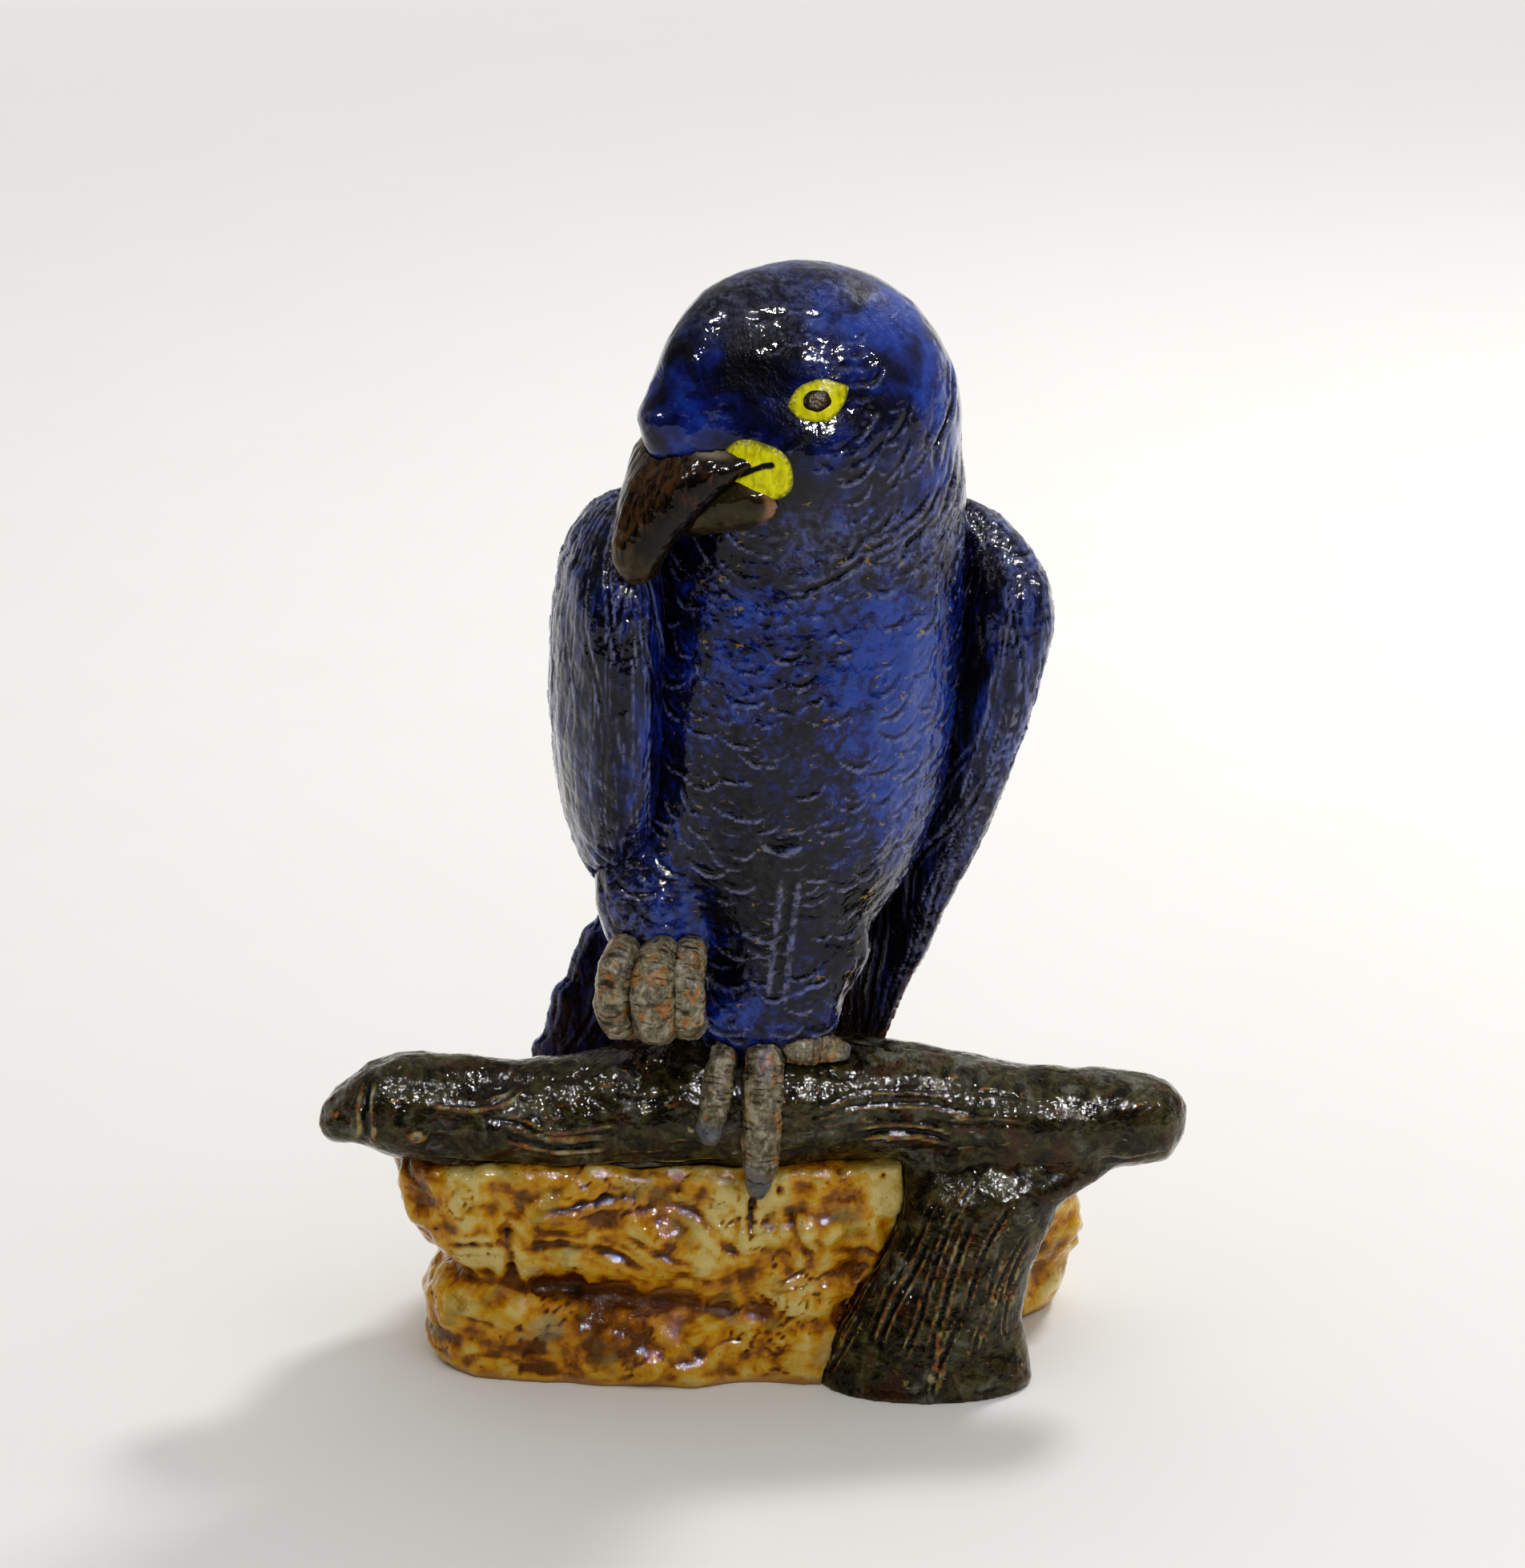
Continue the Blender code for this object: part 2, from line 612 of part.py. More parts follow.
def curled_toe(name, x, spread, reach, radius):
    """A toe of the lifted foot: out from the shank, over the knuckle and back under."""
    rows = [
        (x, -17.0, 108.0, 0.7 * radius), (x + 0.4 * spread, -25.0, 108.5, 0.9 * radius),
        (x + 0.8 * spread, -31.0 - reach, 105.5, radius), (x + spread, -32.5 - reach, 99.0, radius),
        (x + 0.7 * spread, -29.0 - reach, 93.5, radius), (x + 0.2 * spread, -23.0, 91.0, 0.85 * radius),
        (x, -18.5, 92.0, 0.4 * radius),
    ]
    return piece("curled_toe_" + name, "foot_glaze", tube(rows, sides=12, steps=2))


def make_curled_foot():
    """Three toes of the lifted foot, clenched side by side under the thigh."""
    return [
        curled_toe("middle", -19.5, -3.0, 2.2, 4.9),
        curled_toe("outer", -27.0, -4.0, -0.5, 4.5),
        curled_toe("inner", -13.9, -1.0, 0.3, 4.1),
    ]


# ---------------------------------------------------------------- assembly


def build():
    for obj in list(bpy.data.objects):
        bpy.data.objects.remove(obj, do_unlink=True)

    branch, stump, rock = make_branch(), make_stump(), make_rock()
    torso, head = make_torso(), make_head()
    upper_beak, lower_beak = make_upper_beak(), make_lower_beak()
    wing_left, wing_right, tail = make_left_wing(), make_right_wing(), make_tail()
    thigh_left, thigh_right = make_left_thigh(), make_right_thigh()
    standing_toes, curled_toes = make_standing_foot(), make_curled_foot()

    floor = half_space("below_floor", 0.0, upward=False)
    above_neck = half_space("above_neck", NECK_Z, upward=True)
    below_neck = half_space("below_neck", NECK_Z + JOINT_GAP, upward=False)
    vent_path = [(3.0, BRANCH_Y + 5, z, VENT_RADIUS) for z in (20.0, 60.0, 100.0)]
    vent = helper(piece("vent", None, tube(vent_path, sides=12, steps=1)))

    seat(stump, branch)
    cut(stump, floor)
    seat(rock, branch, stump)
    hollow_rock(rock)
    hollow_torso(torso)
    cut(torso, above_neck)
    seat(torso, branch)
    hollow_head(head)
    cut(head, below_neck)
    for drilled in (torso, branch, rock):
        cut(drilled, vent)

    seat(upper_beak, head)
    seat(lower_beak, upper_beak, head, torso)
    make_face(head, upper_beak, lower_beak)
    seat(thigh_left, torso, branch)
    seat(thigh_right, torso)
    seat(wing_left, torso, head, branch)
    seat(wing_right, torso, head, upper_beak, thigh_right)
    seat(tail, torso, wing_right, wing_left, rock, branch)

    settled = [torso, branch, thigh_left, rock]
    for toe in standing_toes:
        seat(toe, *settled)
        settled.append(toe)
    settled = [torso, thigh_left, thigh_right]
    for toe in curled_toes:
        seat(toe, *settled)
        settled.append(toe)


build()
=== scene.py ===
"""The looks of the glazed parrot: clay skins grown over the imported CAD, sculpted in numpy, under glazes.

Lengths are in millimetres, in the coordinates that the CAD source is written in, until a mesh is made. The
room and the camera are in metres. Every random choice comes from a seeded generator, so each run is the same.
"""

import math

import bpy
import numpy as np
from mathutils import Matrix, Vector
from mathutils.bvhtree import BVHTree


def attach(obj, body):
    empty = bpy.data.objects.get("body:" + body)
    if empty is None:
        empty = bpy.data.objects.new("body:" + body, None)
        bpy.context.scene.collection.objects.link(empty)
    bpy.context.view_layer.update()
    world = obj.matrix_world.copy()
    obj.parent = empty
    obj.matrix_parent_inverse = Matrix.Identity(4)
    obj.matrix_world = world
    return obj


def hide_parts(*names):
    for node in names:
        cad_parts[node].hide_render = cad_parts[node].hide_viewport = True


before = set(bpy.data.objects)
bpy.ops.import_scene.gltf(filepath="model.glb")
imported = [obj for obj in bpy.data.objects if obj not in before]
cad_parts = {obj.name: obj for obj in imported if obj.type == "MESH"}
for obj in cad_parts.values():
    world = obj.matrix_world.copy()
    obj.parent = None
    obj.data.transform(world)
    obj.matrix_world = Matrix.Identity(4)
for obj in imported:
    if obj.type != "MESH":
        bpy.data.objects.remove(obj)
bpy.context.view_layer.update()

MM = 0.001
DATUM = np.array((-0.06, 5.33, 0.0))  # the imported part's origin, in the coordinates used here
UP = np.array((0.0, 0.0, 1.0))
SKULL = np.array((12.0, -4.0, 223.0))
HEAD_TURN = math.radians(60)  # to the bird's right
HEAD_FRONT = np.array((-math.sin(HEAD_TURN), -math.cos(HEAD_TURN), 0.0))
HEAD_LEFT = np.cross(UP, HEAD_FRONT)
BRANCH_Y = -8.0
VENT_X, VENT_Y, PLUG_RADIUS = 3.0, -3.0, 3.6
ROCK_X, ROCK_Y, ROCK_LONG, ROCK_DEEP = -4.0, 6.0, 78.0, 31.0  # middle and half axes of the rock's oval plan
SEAT_SWELL = 0.22  # closes the gap that the CAD leaves between lumps
MARK_EDGE, MARK_HOLLOW, MARK_GAP, MARK_SWELL = 0.42, 0.75, 1.05, 2.6  # widths across a feather mark
FULL_DEPTH, FULL_LIP = 0.42, 0.30  # a feather mark this deep or proud is marked in full
COARSE = 1.0  # how much larger the voxels are while trying things
FINE_HEIGHT, BROAD_HEIGHT = 0.12, 0.8  # relief that counts as 1 in the fine and broad numbers of a glaze
COAT_IOR, CLAY_SHINE = 1.44, 0.05


# ---------------------------------------------------------------- numbers


def unit(vectors):
    """The vectors at length 1."""
    return vectors / np.maximum(np.linalg.norm(vectors, axis=-1, keepdims=True), 1e-12)


def ease(low, high, values):
    """0 at low, 1 at high, and smooth between them."""
    t = np.clip((values - low) / (high - low), 0.0, 1.0)
    return t * t * (3.0 - 2.0 * t)


def bell(*offsets):
    """1 where every offset is 0, and 1/e where one of them is 1."""
    return np.exp(sum(-(offset ** 2) for offset in offsets))


_random = np.random.default_rng(11)
SHUFFLE = _random.permutation(256)
SLOPES = unit(_random.normal(size=(256, 3)))


def lumps(points, size, seed=0, octaves=1):
    """Gradient noise from about -1 to 1, with lumps of this size in millimetres."""
    total, share = np.zeros(len(points)), 1.0
    for octave in range(octaves):
        p = points * (2.0 ** octave / size) + 31.7 * seed + 7.3 * octave
        cell = np.floor(p).astype(np.int64)
        f = p - cell
        fade = f ** 3 * (f * (f * 6 - 15) + 10)
        for corner in np.ndindex(2, 2, 2):
            at = (cell + corner) & 255
            pick = SHUFFLE[(SHUFFLE[(SHUFFLE[at[:, 0]] + at[:, 1]) & 255] + at[:, 2]) & 255]
            weight = np.prod(np.where(corner, fade, 1 - fade), axis=1)
            total += share * weight * np.einsum("ij,ij->i", f - corner, SLOPES[pick]) * 1.7
        share *= 0.5
    return total


def nearest_on(path, points):
    """For each point: distance to a path, share of the path's length, and the nearest place on it."""
    best = np.full(len(points), 1e9)
    along = np.zeros(len(points))
    place = np.zeros_like(points)
    start = 0.0
    for a, b in zip(path, path[1:]):
        step = b - a
        length = np.linalg.norm(step)
        t = np.clip((points - a) @ step / length ** 2, 0.0, 1.0)
        on = a + t[:, None] * step
        distance = np.linalg.norm(points - on, axis=1)
        closer = distance < best
        best[closer] = distance[closer]
        along[closer] = (start + t * length)[closer]
        place[closer] = on[closer]
        start += length
    return best, along / start, place


def curve(points, steps=6):
    """Catmull-Rom curve through points."""
    points = np.asarray(points, float)
    padded = np.vstack([points[:1], points, points[-1:]])
    out = []
    for i in range(len(points) - 1):
        a, b, c, d = padded[i : i + 4]
        for t in np.arange(steps) / steps:
            out.append(0.5 * (2 * b + (c - a) * t + (2 * a - 5 * b + 4 * c - d) * t * t
                              + (3 * b - a - 3 * c + d) * t ** 3))
    return np.array(out + [points[-1]])


def slice_means(t, values, least, root=False):
    """The mean of values (or its root) in slices of t that hold at least so many points, read at each t."""
    step = 4.0
    edges = np.arange(t.min(), t.max() + step, step)
    which = np.clip(np.digitize(t, edges) - 1, 0, len(edges) - 2)
    size = np.bincount(which, minlength=len(edges) - 1)
    used = size >= least
    middles = (0.5 * (edges[:-1] + edges[1:]))[used]
    means = np.bincount(which, values, len(edges) - 1)[used] / size[used]
    return np.interp(t, middles, np.sqrt(means) if root else means)


def patches(points, front, rows):
    """The sum of soft oval patches on the front. A row is strength, x, z, half width and half height."""
    x, _, z = points.T
    return sum(strength * (bell((x - px) / wide, (z - pz) / high) * front)
               for strength, px, pz, wide, high in rows)


def at_head(forward, left, up):
    """The place this far forward, left and up of the skull's middle."""
    return SKULL + HEAD_FRONT * forward + HEAD_LEFT * left + UP * up


def in_head(points):
    """How far points are forward, left and up of the skull's middle."""
    away = points - SKULL
    return away @ HEAD_FRONT, away @ HEAD_LEFT, away[:, 2]


# ---------------------------------------------------------------- meshes


def numbers(things, name, width, kind=np.float32):
    """One property of all of a mesh's parts, with this many numbers each."""
    values = np.empty(len(things) * width, kind)
    things.foreach_get(name, values)
    values = values.astype(float if kind is np.float32 else np.int64)
    return values.reshape(-1, width) if width > 1 else values


def welded(mesh, swell):
    """Points of a CAD mesh with split points joined, moved out by swell, and its polygons."""
    co = numbers(mesh.vertices, "co", 3) * 1000.0 + DATUM
    _, first, number = np.unique(np.round(co, 3), axis=0, return_index=True, return_inverse=True)
    number = number.ravel()
    co = co[first]
    polygons, total = [], np.zeros_like(co)
    for polygon in mesh.polygons:
        corners = [int(number[v]) for v in polygon.vertices]
        if len(set(corners)) < 3:
            continue
        polygons.append(corners)
        a, b, c = (co[corners[k]] for k in (0, 1, 2))
        face = unit(np.cross(b - a, c - a))
        for k in range(len(corners)):
            before = unit(co[corners[k - 1]] - co[corners[k]])
            after = unit(co[corners[(k + 1) % len(corners)]] - co[corners[k]])
            total[corners[k]] += face * math.acos(max(-1.0, min(1.0, float(before @ after))))
    return co + unit(total) * swell, polygons


def vent_plug(low, high, sides=16):
    """A closed upright rod that stops the vent between two heights."""
    turns = [2 * math.pi * k / sides for k in range(sides)]
    ring = [(VENT_X + PLUG_RADIUS * math.cos(turn), VENT_Y + PLUG_RADIUS * math.sin(turn)) for turn in turns]
    points = np.array([(*p, low) for p in ring] + [(*p, high) for p in ring])
    faces = [[k, (k + 1) % sides, sides + (k + 1) % sides, sides + k] for k in range(sides)]
    return points, faces + [list(range(sides - 1, -1, -1)), list(range(sides, 2 * sides))]


def mesh_from(name, points, faces):
    """A mesh in metres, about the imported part's origin."""
    mesh = bpy.data.meshes.new(name)
    mesh.from_pydata(((points - DATUM) * MM).tolist(), [], faces)
    return mesh


def add_object(name, data):
    """An object in the scene."""
    obj = bpy.data.objects.new(name, data)
    bpy.context.scene.collection.objects.link(obj)
    return obj


def show(name, points, faces, layers, material, nodes):
    """Shows a piece in place of its CAD nodes, with the layers of numbers that its glaze reads."""
    mesh = mesh_from(name, points, faces)
    mesh.shade_smooth()
    for label, values in layers.items():
        layer = mesh.attributes.new(label, "FLOAT", "POINT")
        layer.data.foreach_set("value", np.clip(values, -4, 4).astype(np.float32))
    mesh.materials.append(material)
    obj = add_object(name, mesh)
    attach(obj, "root")
    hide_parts(*nodes)


# ---------------------------------------------------------------- clay


class Clay:
    """A fine, even quad skin over some CAD nodes, shaped by moving its points along their normals.

    The glaze reads lip, high on proud edges, pool, high in grooves, and the extra numbers of one piece.
    """

    def __init__(self, name, nodes, voxel, plugs=(), whole=False):
        self.name, self.nodes = name, nodes
        points, faces, count = [], [], 0
        lumps_of_clay = [welded(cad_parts[node].data, SEAT_SWELL) for node in nodes]
        for lump, lump_faces in lumps_of_clay + list(plugs):
            points.append(lump)
            faces += [[count + v for v in face] for face in lump_faces]
            count += len(lump)
        obj = add_object(name + "_rough", mesh_from(name + "_rough", np.vstack(points), faces))
        remesh = obj.modifiers.new("even", "REMESH")
        remesh.mode = "VOXEL"
        remesh.voxel_size = voxel * COARSE * MM
        graph = bpy.context.evaluated_depsgraph_get()
        fine = bpy.data.meshes.new_from_object(obj.evaluated_get(graph))
        bpy.data.objects.remove(obj)
        self.co = numbers(fine.vertices, "co", 3) * 1000.0 + DATUM
        self.faces = numbers(fine.loops, "vertex_index", 1, np.int32).reshape(-1, 4)
        self.edges = numbers(fine.edges, "vertices", 2, np.int32)
        bpy.data.meshes.remove(fine)
        if not whole:
            self.keep_outer()
        self.degree = np.maximum(np.bincount(self.edges.ravel(), minlength=len(self.co)), 1)
        self.lip = np.zeros(len(self.co))
        self.pool = np.zeros(len(self.co))
        self.extra = {}
        self.tree = None

    def keep_outer(self):
        """Drops the skin of any hollow inside, which is a smaller island of its own."""
        a, b = self.edges.T
        label = np.arange(len(self.co))
        while True:
            low = np.minimum(label[a], label[b])
            lower = label.copy()
            np.minimum.at(lower, a, low)
            np.minimum.at(lower, b, low)
            lower = lower[lower]
            if (lower == label).all():
                break
            label = lower
        kept = label == np.bincount(label).argmax()
        number = np.cumsum(kept) - 1
        self.co = self.co[kept]
        self.faces = number[self.faces[kept[self.faces[:, 0]]]]
        self.edges = number[self.edges[kept[a]]]

    def normals(self):
        a, b, c, d = (self.co[self.faces[:, k]] for k in range(4))
        face = np.cross(c - a, d - b)
        total = np.zeros_like(self.co)
        for k in range(4):
            for i in range(3):
                total[:, i] += np.bincount(self.faces[:, k], face[:, i], len(self.co))
        return unit(total)

    def neighbours(self, values):
        """The mean of each point's neighbours."""
        a, b = self.edges.T
        count = len(self.co)
        columns = values.reshape(count, -1).T
        sums = [np.bincount(a, v[b], count) + np.bincount(b, v[a], count) for v in columns]
        return (np.array(sums) / self.degree).T.reshape(values.shape)

    def relax(self, rounds):
        """Takes the facets off without shrinking the lump."""
        for _ in range(max(int(rounds / COARSE ** 2), 1)):
            self.co = self.co + 0.5 * (self.neighbours(self.co) - self.co)
            self.co = self.co - 0.52 * (self.neighbours(self.co) - self.co)

    def relief(self, rounds):
        """How far each point stands above the skin smoothed by this many rounds."""
        smooth = self.co
        for _ in range(max(int(rounds / COARSE ** 2), 1)):
            smooth = smooth + 0.5 * (self.neighbours(smooth) - smooth)
        return ((self.co - smooth) * self.normals()).sum(1)

    def push(self, distance):
        """Moves the skin outwards."""
        self.co = self.co + self.normals() * np.asarray(distance)[..., None]

    def fillet(self, rounds, share, repeats):
        """Fills the creases where lumps meet, as slip does, and leaves the rest alone."""
        for _ in range(repeats):
            self.push(share * np.maximum(-self.relief(rounds), 0.0))

    def bvh(self):
        """The skin as it was when this was first asked for."""
        if self.tree is None:
            self.tree = BVHTree.FromPolygons(self.co.tolist(), self.faces.tolist())
        return self.tree

    def hits(self, rays):
        """Where rays meet the skin. A ray is its start and its direction."""
        places = [self.bvh().ray_cast(Vector(start), Vector(direction))[0] for start, direction in rays]
        return np.array([place for place in places if place is not None])

    def trace(self, points):
        """Puts (x, z) points on the skin, seen from the front."""
        return self.hits([((x, -200.0, z), (0.0, 1.0, 0.0)) for x, z in points])

    def wrap(self, places, directions):
        """Where rays from outside meet the skin on their way to places inside."""
        places, directions = np.array(places), np.array(directions)
        return self.hits(zip(places + 60.0 * directions, -directions))

    def mark(self, pool=None, lip=None):
        """Keeps the strongest mark at each point."""
        if pool is not None:
            self.pool = np.maximum(self.pool, pool)
        if lip is not None:
            self.lip = np.maximum(self.lip, lip)

    def stroke(self, path, width, depth, lip=0.0, sides=(1.0, 1.0), glazed=1.0):
        """A groove along a path, with a raised lip on both sides. Glazed says how strongly it is marked."""
        if len(path) < 2:
            return
        reach = 4.0 * width + 1.0
        near = ((self.co > path.min(0) - reach) & (self.co < path.max(0) + reach)).all(1).nonzero()[0]
        if not len(near):
            return
        points = self.co[near]
        distance, along, place = nearest_on(path, points)
        taper = np.clip(5.0 * along, 0, 1) * np.clip(5.0 * (1 - along), 0, 1)
        taper = np.sqrt(taper) * (0.75 + 0.35 * lumps(points, 3.0, 5))
        groove = bell(distance / width) * taper
        side = np.where((points - place)[:, 2] > 0, sides[0], sides[1])
        edge = bell((distance - 1.75 * width) / (0.65 * width)) * taper * side
        move = np.zeros(len(self.co))
        move[near] = lip * edge - depth * groove
        self.push(move)
        self.pool[near] = np.maximum(self.pool[near], groove * glazed)
        if lip > 0:
            self.lip[near] = np.maximum(self.lip[near], edge * glazed)

    def cuts(self, rows):
        """Strokes along curves. A row is the curve's (x, z) points, then what stroke takes."""
        for points, *how in rows:
            self.stroke(self.trace(curve(points)), *how)

    def dent(self, centre, radius, depth, glazed=0.8):
        """A round pit. Glazed says how deep the glaze pools in it."""
        distance = np.linalg.norm(self.co - centre, axis=1)
        hole = bell(distance / radius)
        self.push(-depth * hole)
        self.mark(glazed * np.where(distance < 3 * radius, hole, 0.0))

    def dents(self, rows):
        """Dents on the front. A row is the dent's (x, z), then what dent takes."""
        for point, *how in rows:
            self.dent(self.trace([point])[0], *how)

    def scallops(self, stamps):
        """Feather marks. A stamp is point number, half width, sag, tilt, depth and lip height."""
        normals = self.normals()
        move = np.zeros(len(self.co))
        for index, half, sag, tilt, depth, lip in stamps:
            centre, out = self.co[index], normals[index]
            down = unit(-UP + out * out[2])
            across = np.cross(out, down)
            near = (np.abs(self.co - centre).max(1) < half + 3.0).nonzero()[0]
            away = self.co[near] - centre
            x0, y0 = away @ across, away @ down
            x = math.cos(tilt) * x0 - math.sin(tilt) * y0
            y = math.sin(tilt) * x0 + math.cos(tilt) * y0
            share = np.clip(1 - (x / half) ** 2, 0, 1)
            below = y - sag * (share - 0.5)
            fade = np.sqrt(share) * (away @ out > -3.0)
            edge = bell(below / MARK_EDGE) * fade
            hollow = bell((below + MARK_GAP) / MARK_HOLLOW) * fade
            swell = np.where(below < 0, np.exp(below / MARK_SWELL), 0.0) * ease(-1.5, -3.0, below) * fade
            move[near] += lip * edge - depth * hollow + 0.3 * depth * swell
            self.lip[near] = np.maximum(self.lip[near], edge * min(lip / FULL_LIP, 1.3))
            self.pool[near] = np.maximum(self.pool[near], hollow * min(depth / FULL_DEPTH, 1.1))
        self.push(move)

    def centre_line(self):
        """The middle of the level slice that each point is in."""
        return np.stack([slice_means(self.co[:, 2], self.co[:, i], least=2) for i in range(3)], 1)

    def furrows(self, side, count, depth, width, wander, cover=0.0, seed=0, share_at=1.0):
        """Long upright grooves, spaced evenly round the piece from its side, as strong as share_at says."""
        away = self.co - self.centre_line()
        across = unit(side - UP * (side @ UP))
        u, w = away @ across, away @ np.cross(UP, across)
        t = self.co[:, 2]
        drawn_out = self.co * (0.06, 0.06, 1.0)
        bend = lumps(drawn_out, 46.0, seed) + 0.16 * lumps(drawn_out, 15.0, seed + 1)
        spread_u, spread_w = (np.maximum(slice_means(t, v ** 2, least=1, root=True) * 1.41, 0.8)
                              for v in (u, w))
        turn = np.arctan2(w / spread_w, u / spread_u)
        share = turn / (2 * math.pi) * count + wander * bend
        number = np.round(share)
        girth = 2 * math.pi * np.sqrt((spread_u ** 2 + spread_w ** 2) / 2) * 1.2
        distance = np.abs(share - number) * girth / count
        pick = np.mod(number, count)
        strength = 0.45 + 0.55 * np.sin(pick * 12.9898 + seed * 3.1) ** 2
        line = np.stack([pick * 37.7, t, np.full(len(t), 5.0 * seed)], 1)
        strength = strength * ease(cover - 0.25, cover + 0.35, lumps(line, 30.0, seed + 2) + 0.25) * share_at
        groove = bell(distance / width) * strength
        edge = bell((distance - 1.8 * width) / (0.7 * width)) * strength
        self.push(0.3 * depth * edge - depth * groove)
        self.mark(groove, edge)

    def rings(self, path, spacing, depth, seed=0):
        """Creases across a toe, square to its path."""
        length = np.linalg.norm(np.diff(path, axis=0), axis=1).sum()
        _, along, _ = nearest_on(path, self.co)
        share = along * length / spacing + 0.45 * lumps(self.co, 5.0, seed)
        gap = np.abs(share - np.round(share)) * spacing
        groove = bell(gap / 0.26) * ease(-0.5, 0.6, lumps(self.co, 3.0, seed + 3))
        groove = groove * ease(0.03, 0.12, along) * ease(0.97, 0.8, along)
        self.push(-depth * groove)
        self.mark(groove)
        self.extra["along"] = along

    def fire(self, material, slot):
        """Shows the finished skin, resting on the floor."""
        self.co[:, 2] = np.maximum(self.co[:, 2], 0.0)
        fine, broad = self.relief(rounds=4) / FINE_HEIGHT, self.relief(rounds=40) / BROAD_HEIGHT
        layers = {"fine": fine, "broad": broad, "lip": self.lip, "pool": self.pool, **self.extra}
        show(self.name, self.co, self.faces.tolist(), layers, material, self.nodes)


# ---------------------------------------------------------------- glazes


class Signal:
    """What a node gives out. Arithmetic on it adds nodes behind it."""

    def __init__(self, socket):
        self.socket = socket

    def node(self, kind, output, inputs, **settings):
        return add_node(self.socket.id_data, kind, output, inputs, **settings)

    def math(self, operation, other, clamp=False):
        return self.node("Math", 0, {0: self, 1: other}, operation=operation, use_clamp=clamp)

    def __add__(self, other):
        return self.math("ADD", other)

    def __sub__(self, amount):
        return self.math("ADD", -amount)

    def __mul__(self, other):
        return self.math("MULTIPLY", other)

    def plus(self, other):
        """The sum, kept between 0 and 1."""
        return self.math("ADD", other, True)

    def masked(self, other):
        """The product, kept between 0 and 1."""
        return self.math("MULTIPLY", other, True)

    def most(self, other):
        return self.math("MAXIMUM", other)

    def band(self, low, high, to_low=0.0, to_high=1.0):
        """Maps low..high onto to_low..to_high, clamped and eased."""
        limits = {"From Min": low, "From Max": high, "To Min": to_low, "To Max": to_high}
        return self.node("MapRange", "Result", {"Value": self, **limits}, interpolation_type="SMOOTHSTEP")

    def ramp(self, *stops):
        """Colours along 0..1. A stop is its place and its colour."""
        out = self.node("ValToRGB", "Color", {"Fac": self})
        elements = out.socket.node.color_ramp.elements
        while len(elements) < len(stops):
            elements.new(0.5)
        for element, (at, colour) in zip(elements, stops):
            element.position = at
            element.color = (*colour, 1.0)
        return out

    def mix(self, a, b):
        """Colour a where this is 0, and b where it is 1."""
        return self.node("Mix", "Result", {"Factor": self, "A": a, "B": b}, data_type="RGBA")


def connect(socket, value):
    if isinstance(value, Signal):
        socket.id_data.links.new(value.socket, socket)
    elif socket.type == "RGBA":
        socket.default_value = (*value, 1.0)
    else:
        socket.default_value = value


def add_node(tree, kind, output, inputs, **settings):
    """Makes a shader node, its settings first and its inputs next, and gives the signal of one output."""
    node = tree.nodes.new("ShaderNode" + kind)
    for name, value in settings.items():
        setattr(node, name, value)
    for key, value in inputs.items():
        connect(node.inputs[key], value)
    return Signal(node.outputs[output])


class Glaze:
    """A node material, built from the inside out. Sizes are in millimetres."""

    def __init__(self, name):
        self.material = bpy.data.materials.new(name)
        self.material.use_nodes = True
        self.tree = self.material.node_tree
        self.shader = self.tree.nodes["Principled BSDF"]
        self.place = add_node(self.tree, "TexCoord", "Object", {})

    def read(self, names):
        """Signals of the numbers that a clay skin carries."""
        return [add_node(self.tree, "Attribute", "Fac", {}, attribute_name=name) for name in names.split()]

    def noise(self, size, detail=3.0, rough=0.55, distort=0.0, stretch=None, shift=0.0):
        place = self.place
        if stretch or shift:
            moved = {"Location": (shift, 0.7 * shift, 0.3 * shift), "Scale": stretch or (1.0, 1.0, 1.0)}
            place = add_node(self.tree, "Mapping", "Vector", {"Vector": place, **moved})
        kind = {"Scale": 1.0 / (size * MM), "Detail": detail, "Roughness": rough, "Distortion": distort}
        return add_node(self.tree, "TexNoise", "Fac", {"Vector": place, **kind})

    def bump(self, height, distance, strength):
        return height.node("Bump", "Normal", {
            "Height": height, "Distance": distance * MM, "Strength": strength})

    def coat(self, colour, roughness, clay, skin, weight, gloss):
        """Sets the colour and bump of the clay, and the bump, weight and gloss of the clear skin over it."""
        values = {"Base Color": colour, "Roughness": roughness, "Normal": clay,
                  "Specular IOR Level": CLAY_SHINE,
                  "Coat Normal": skin, "Coat Weight": weight, "Coat Roughness": gloss, "Coat IOR": COAT_IOR}
        for name, value in values.items():
            connect(self.shader.inputs[name], value)
        return self.material


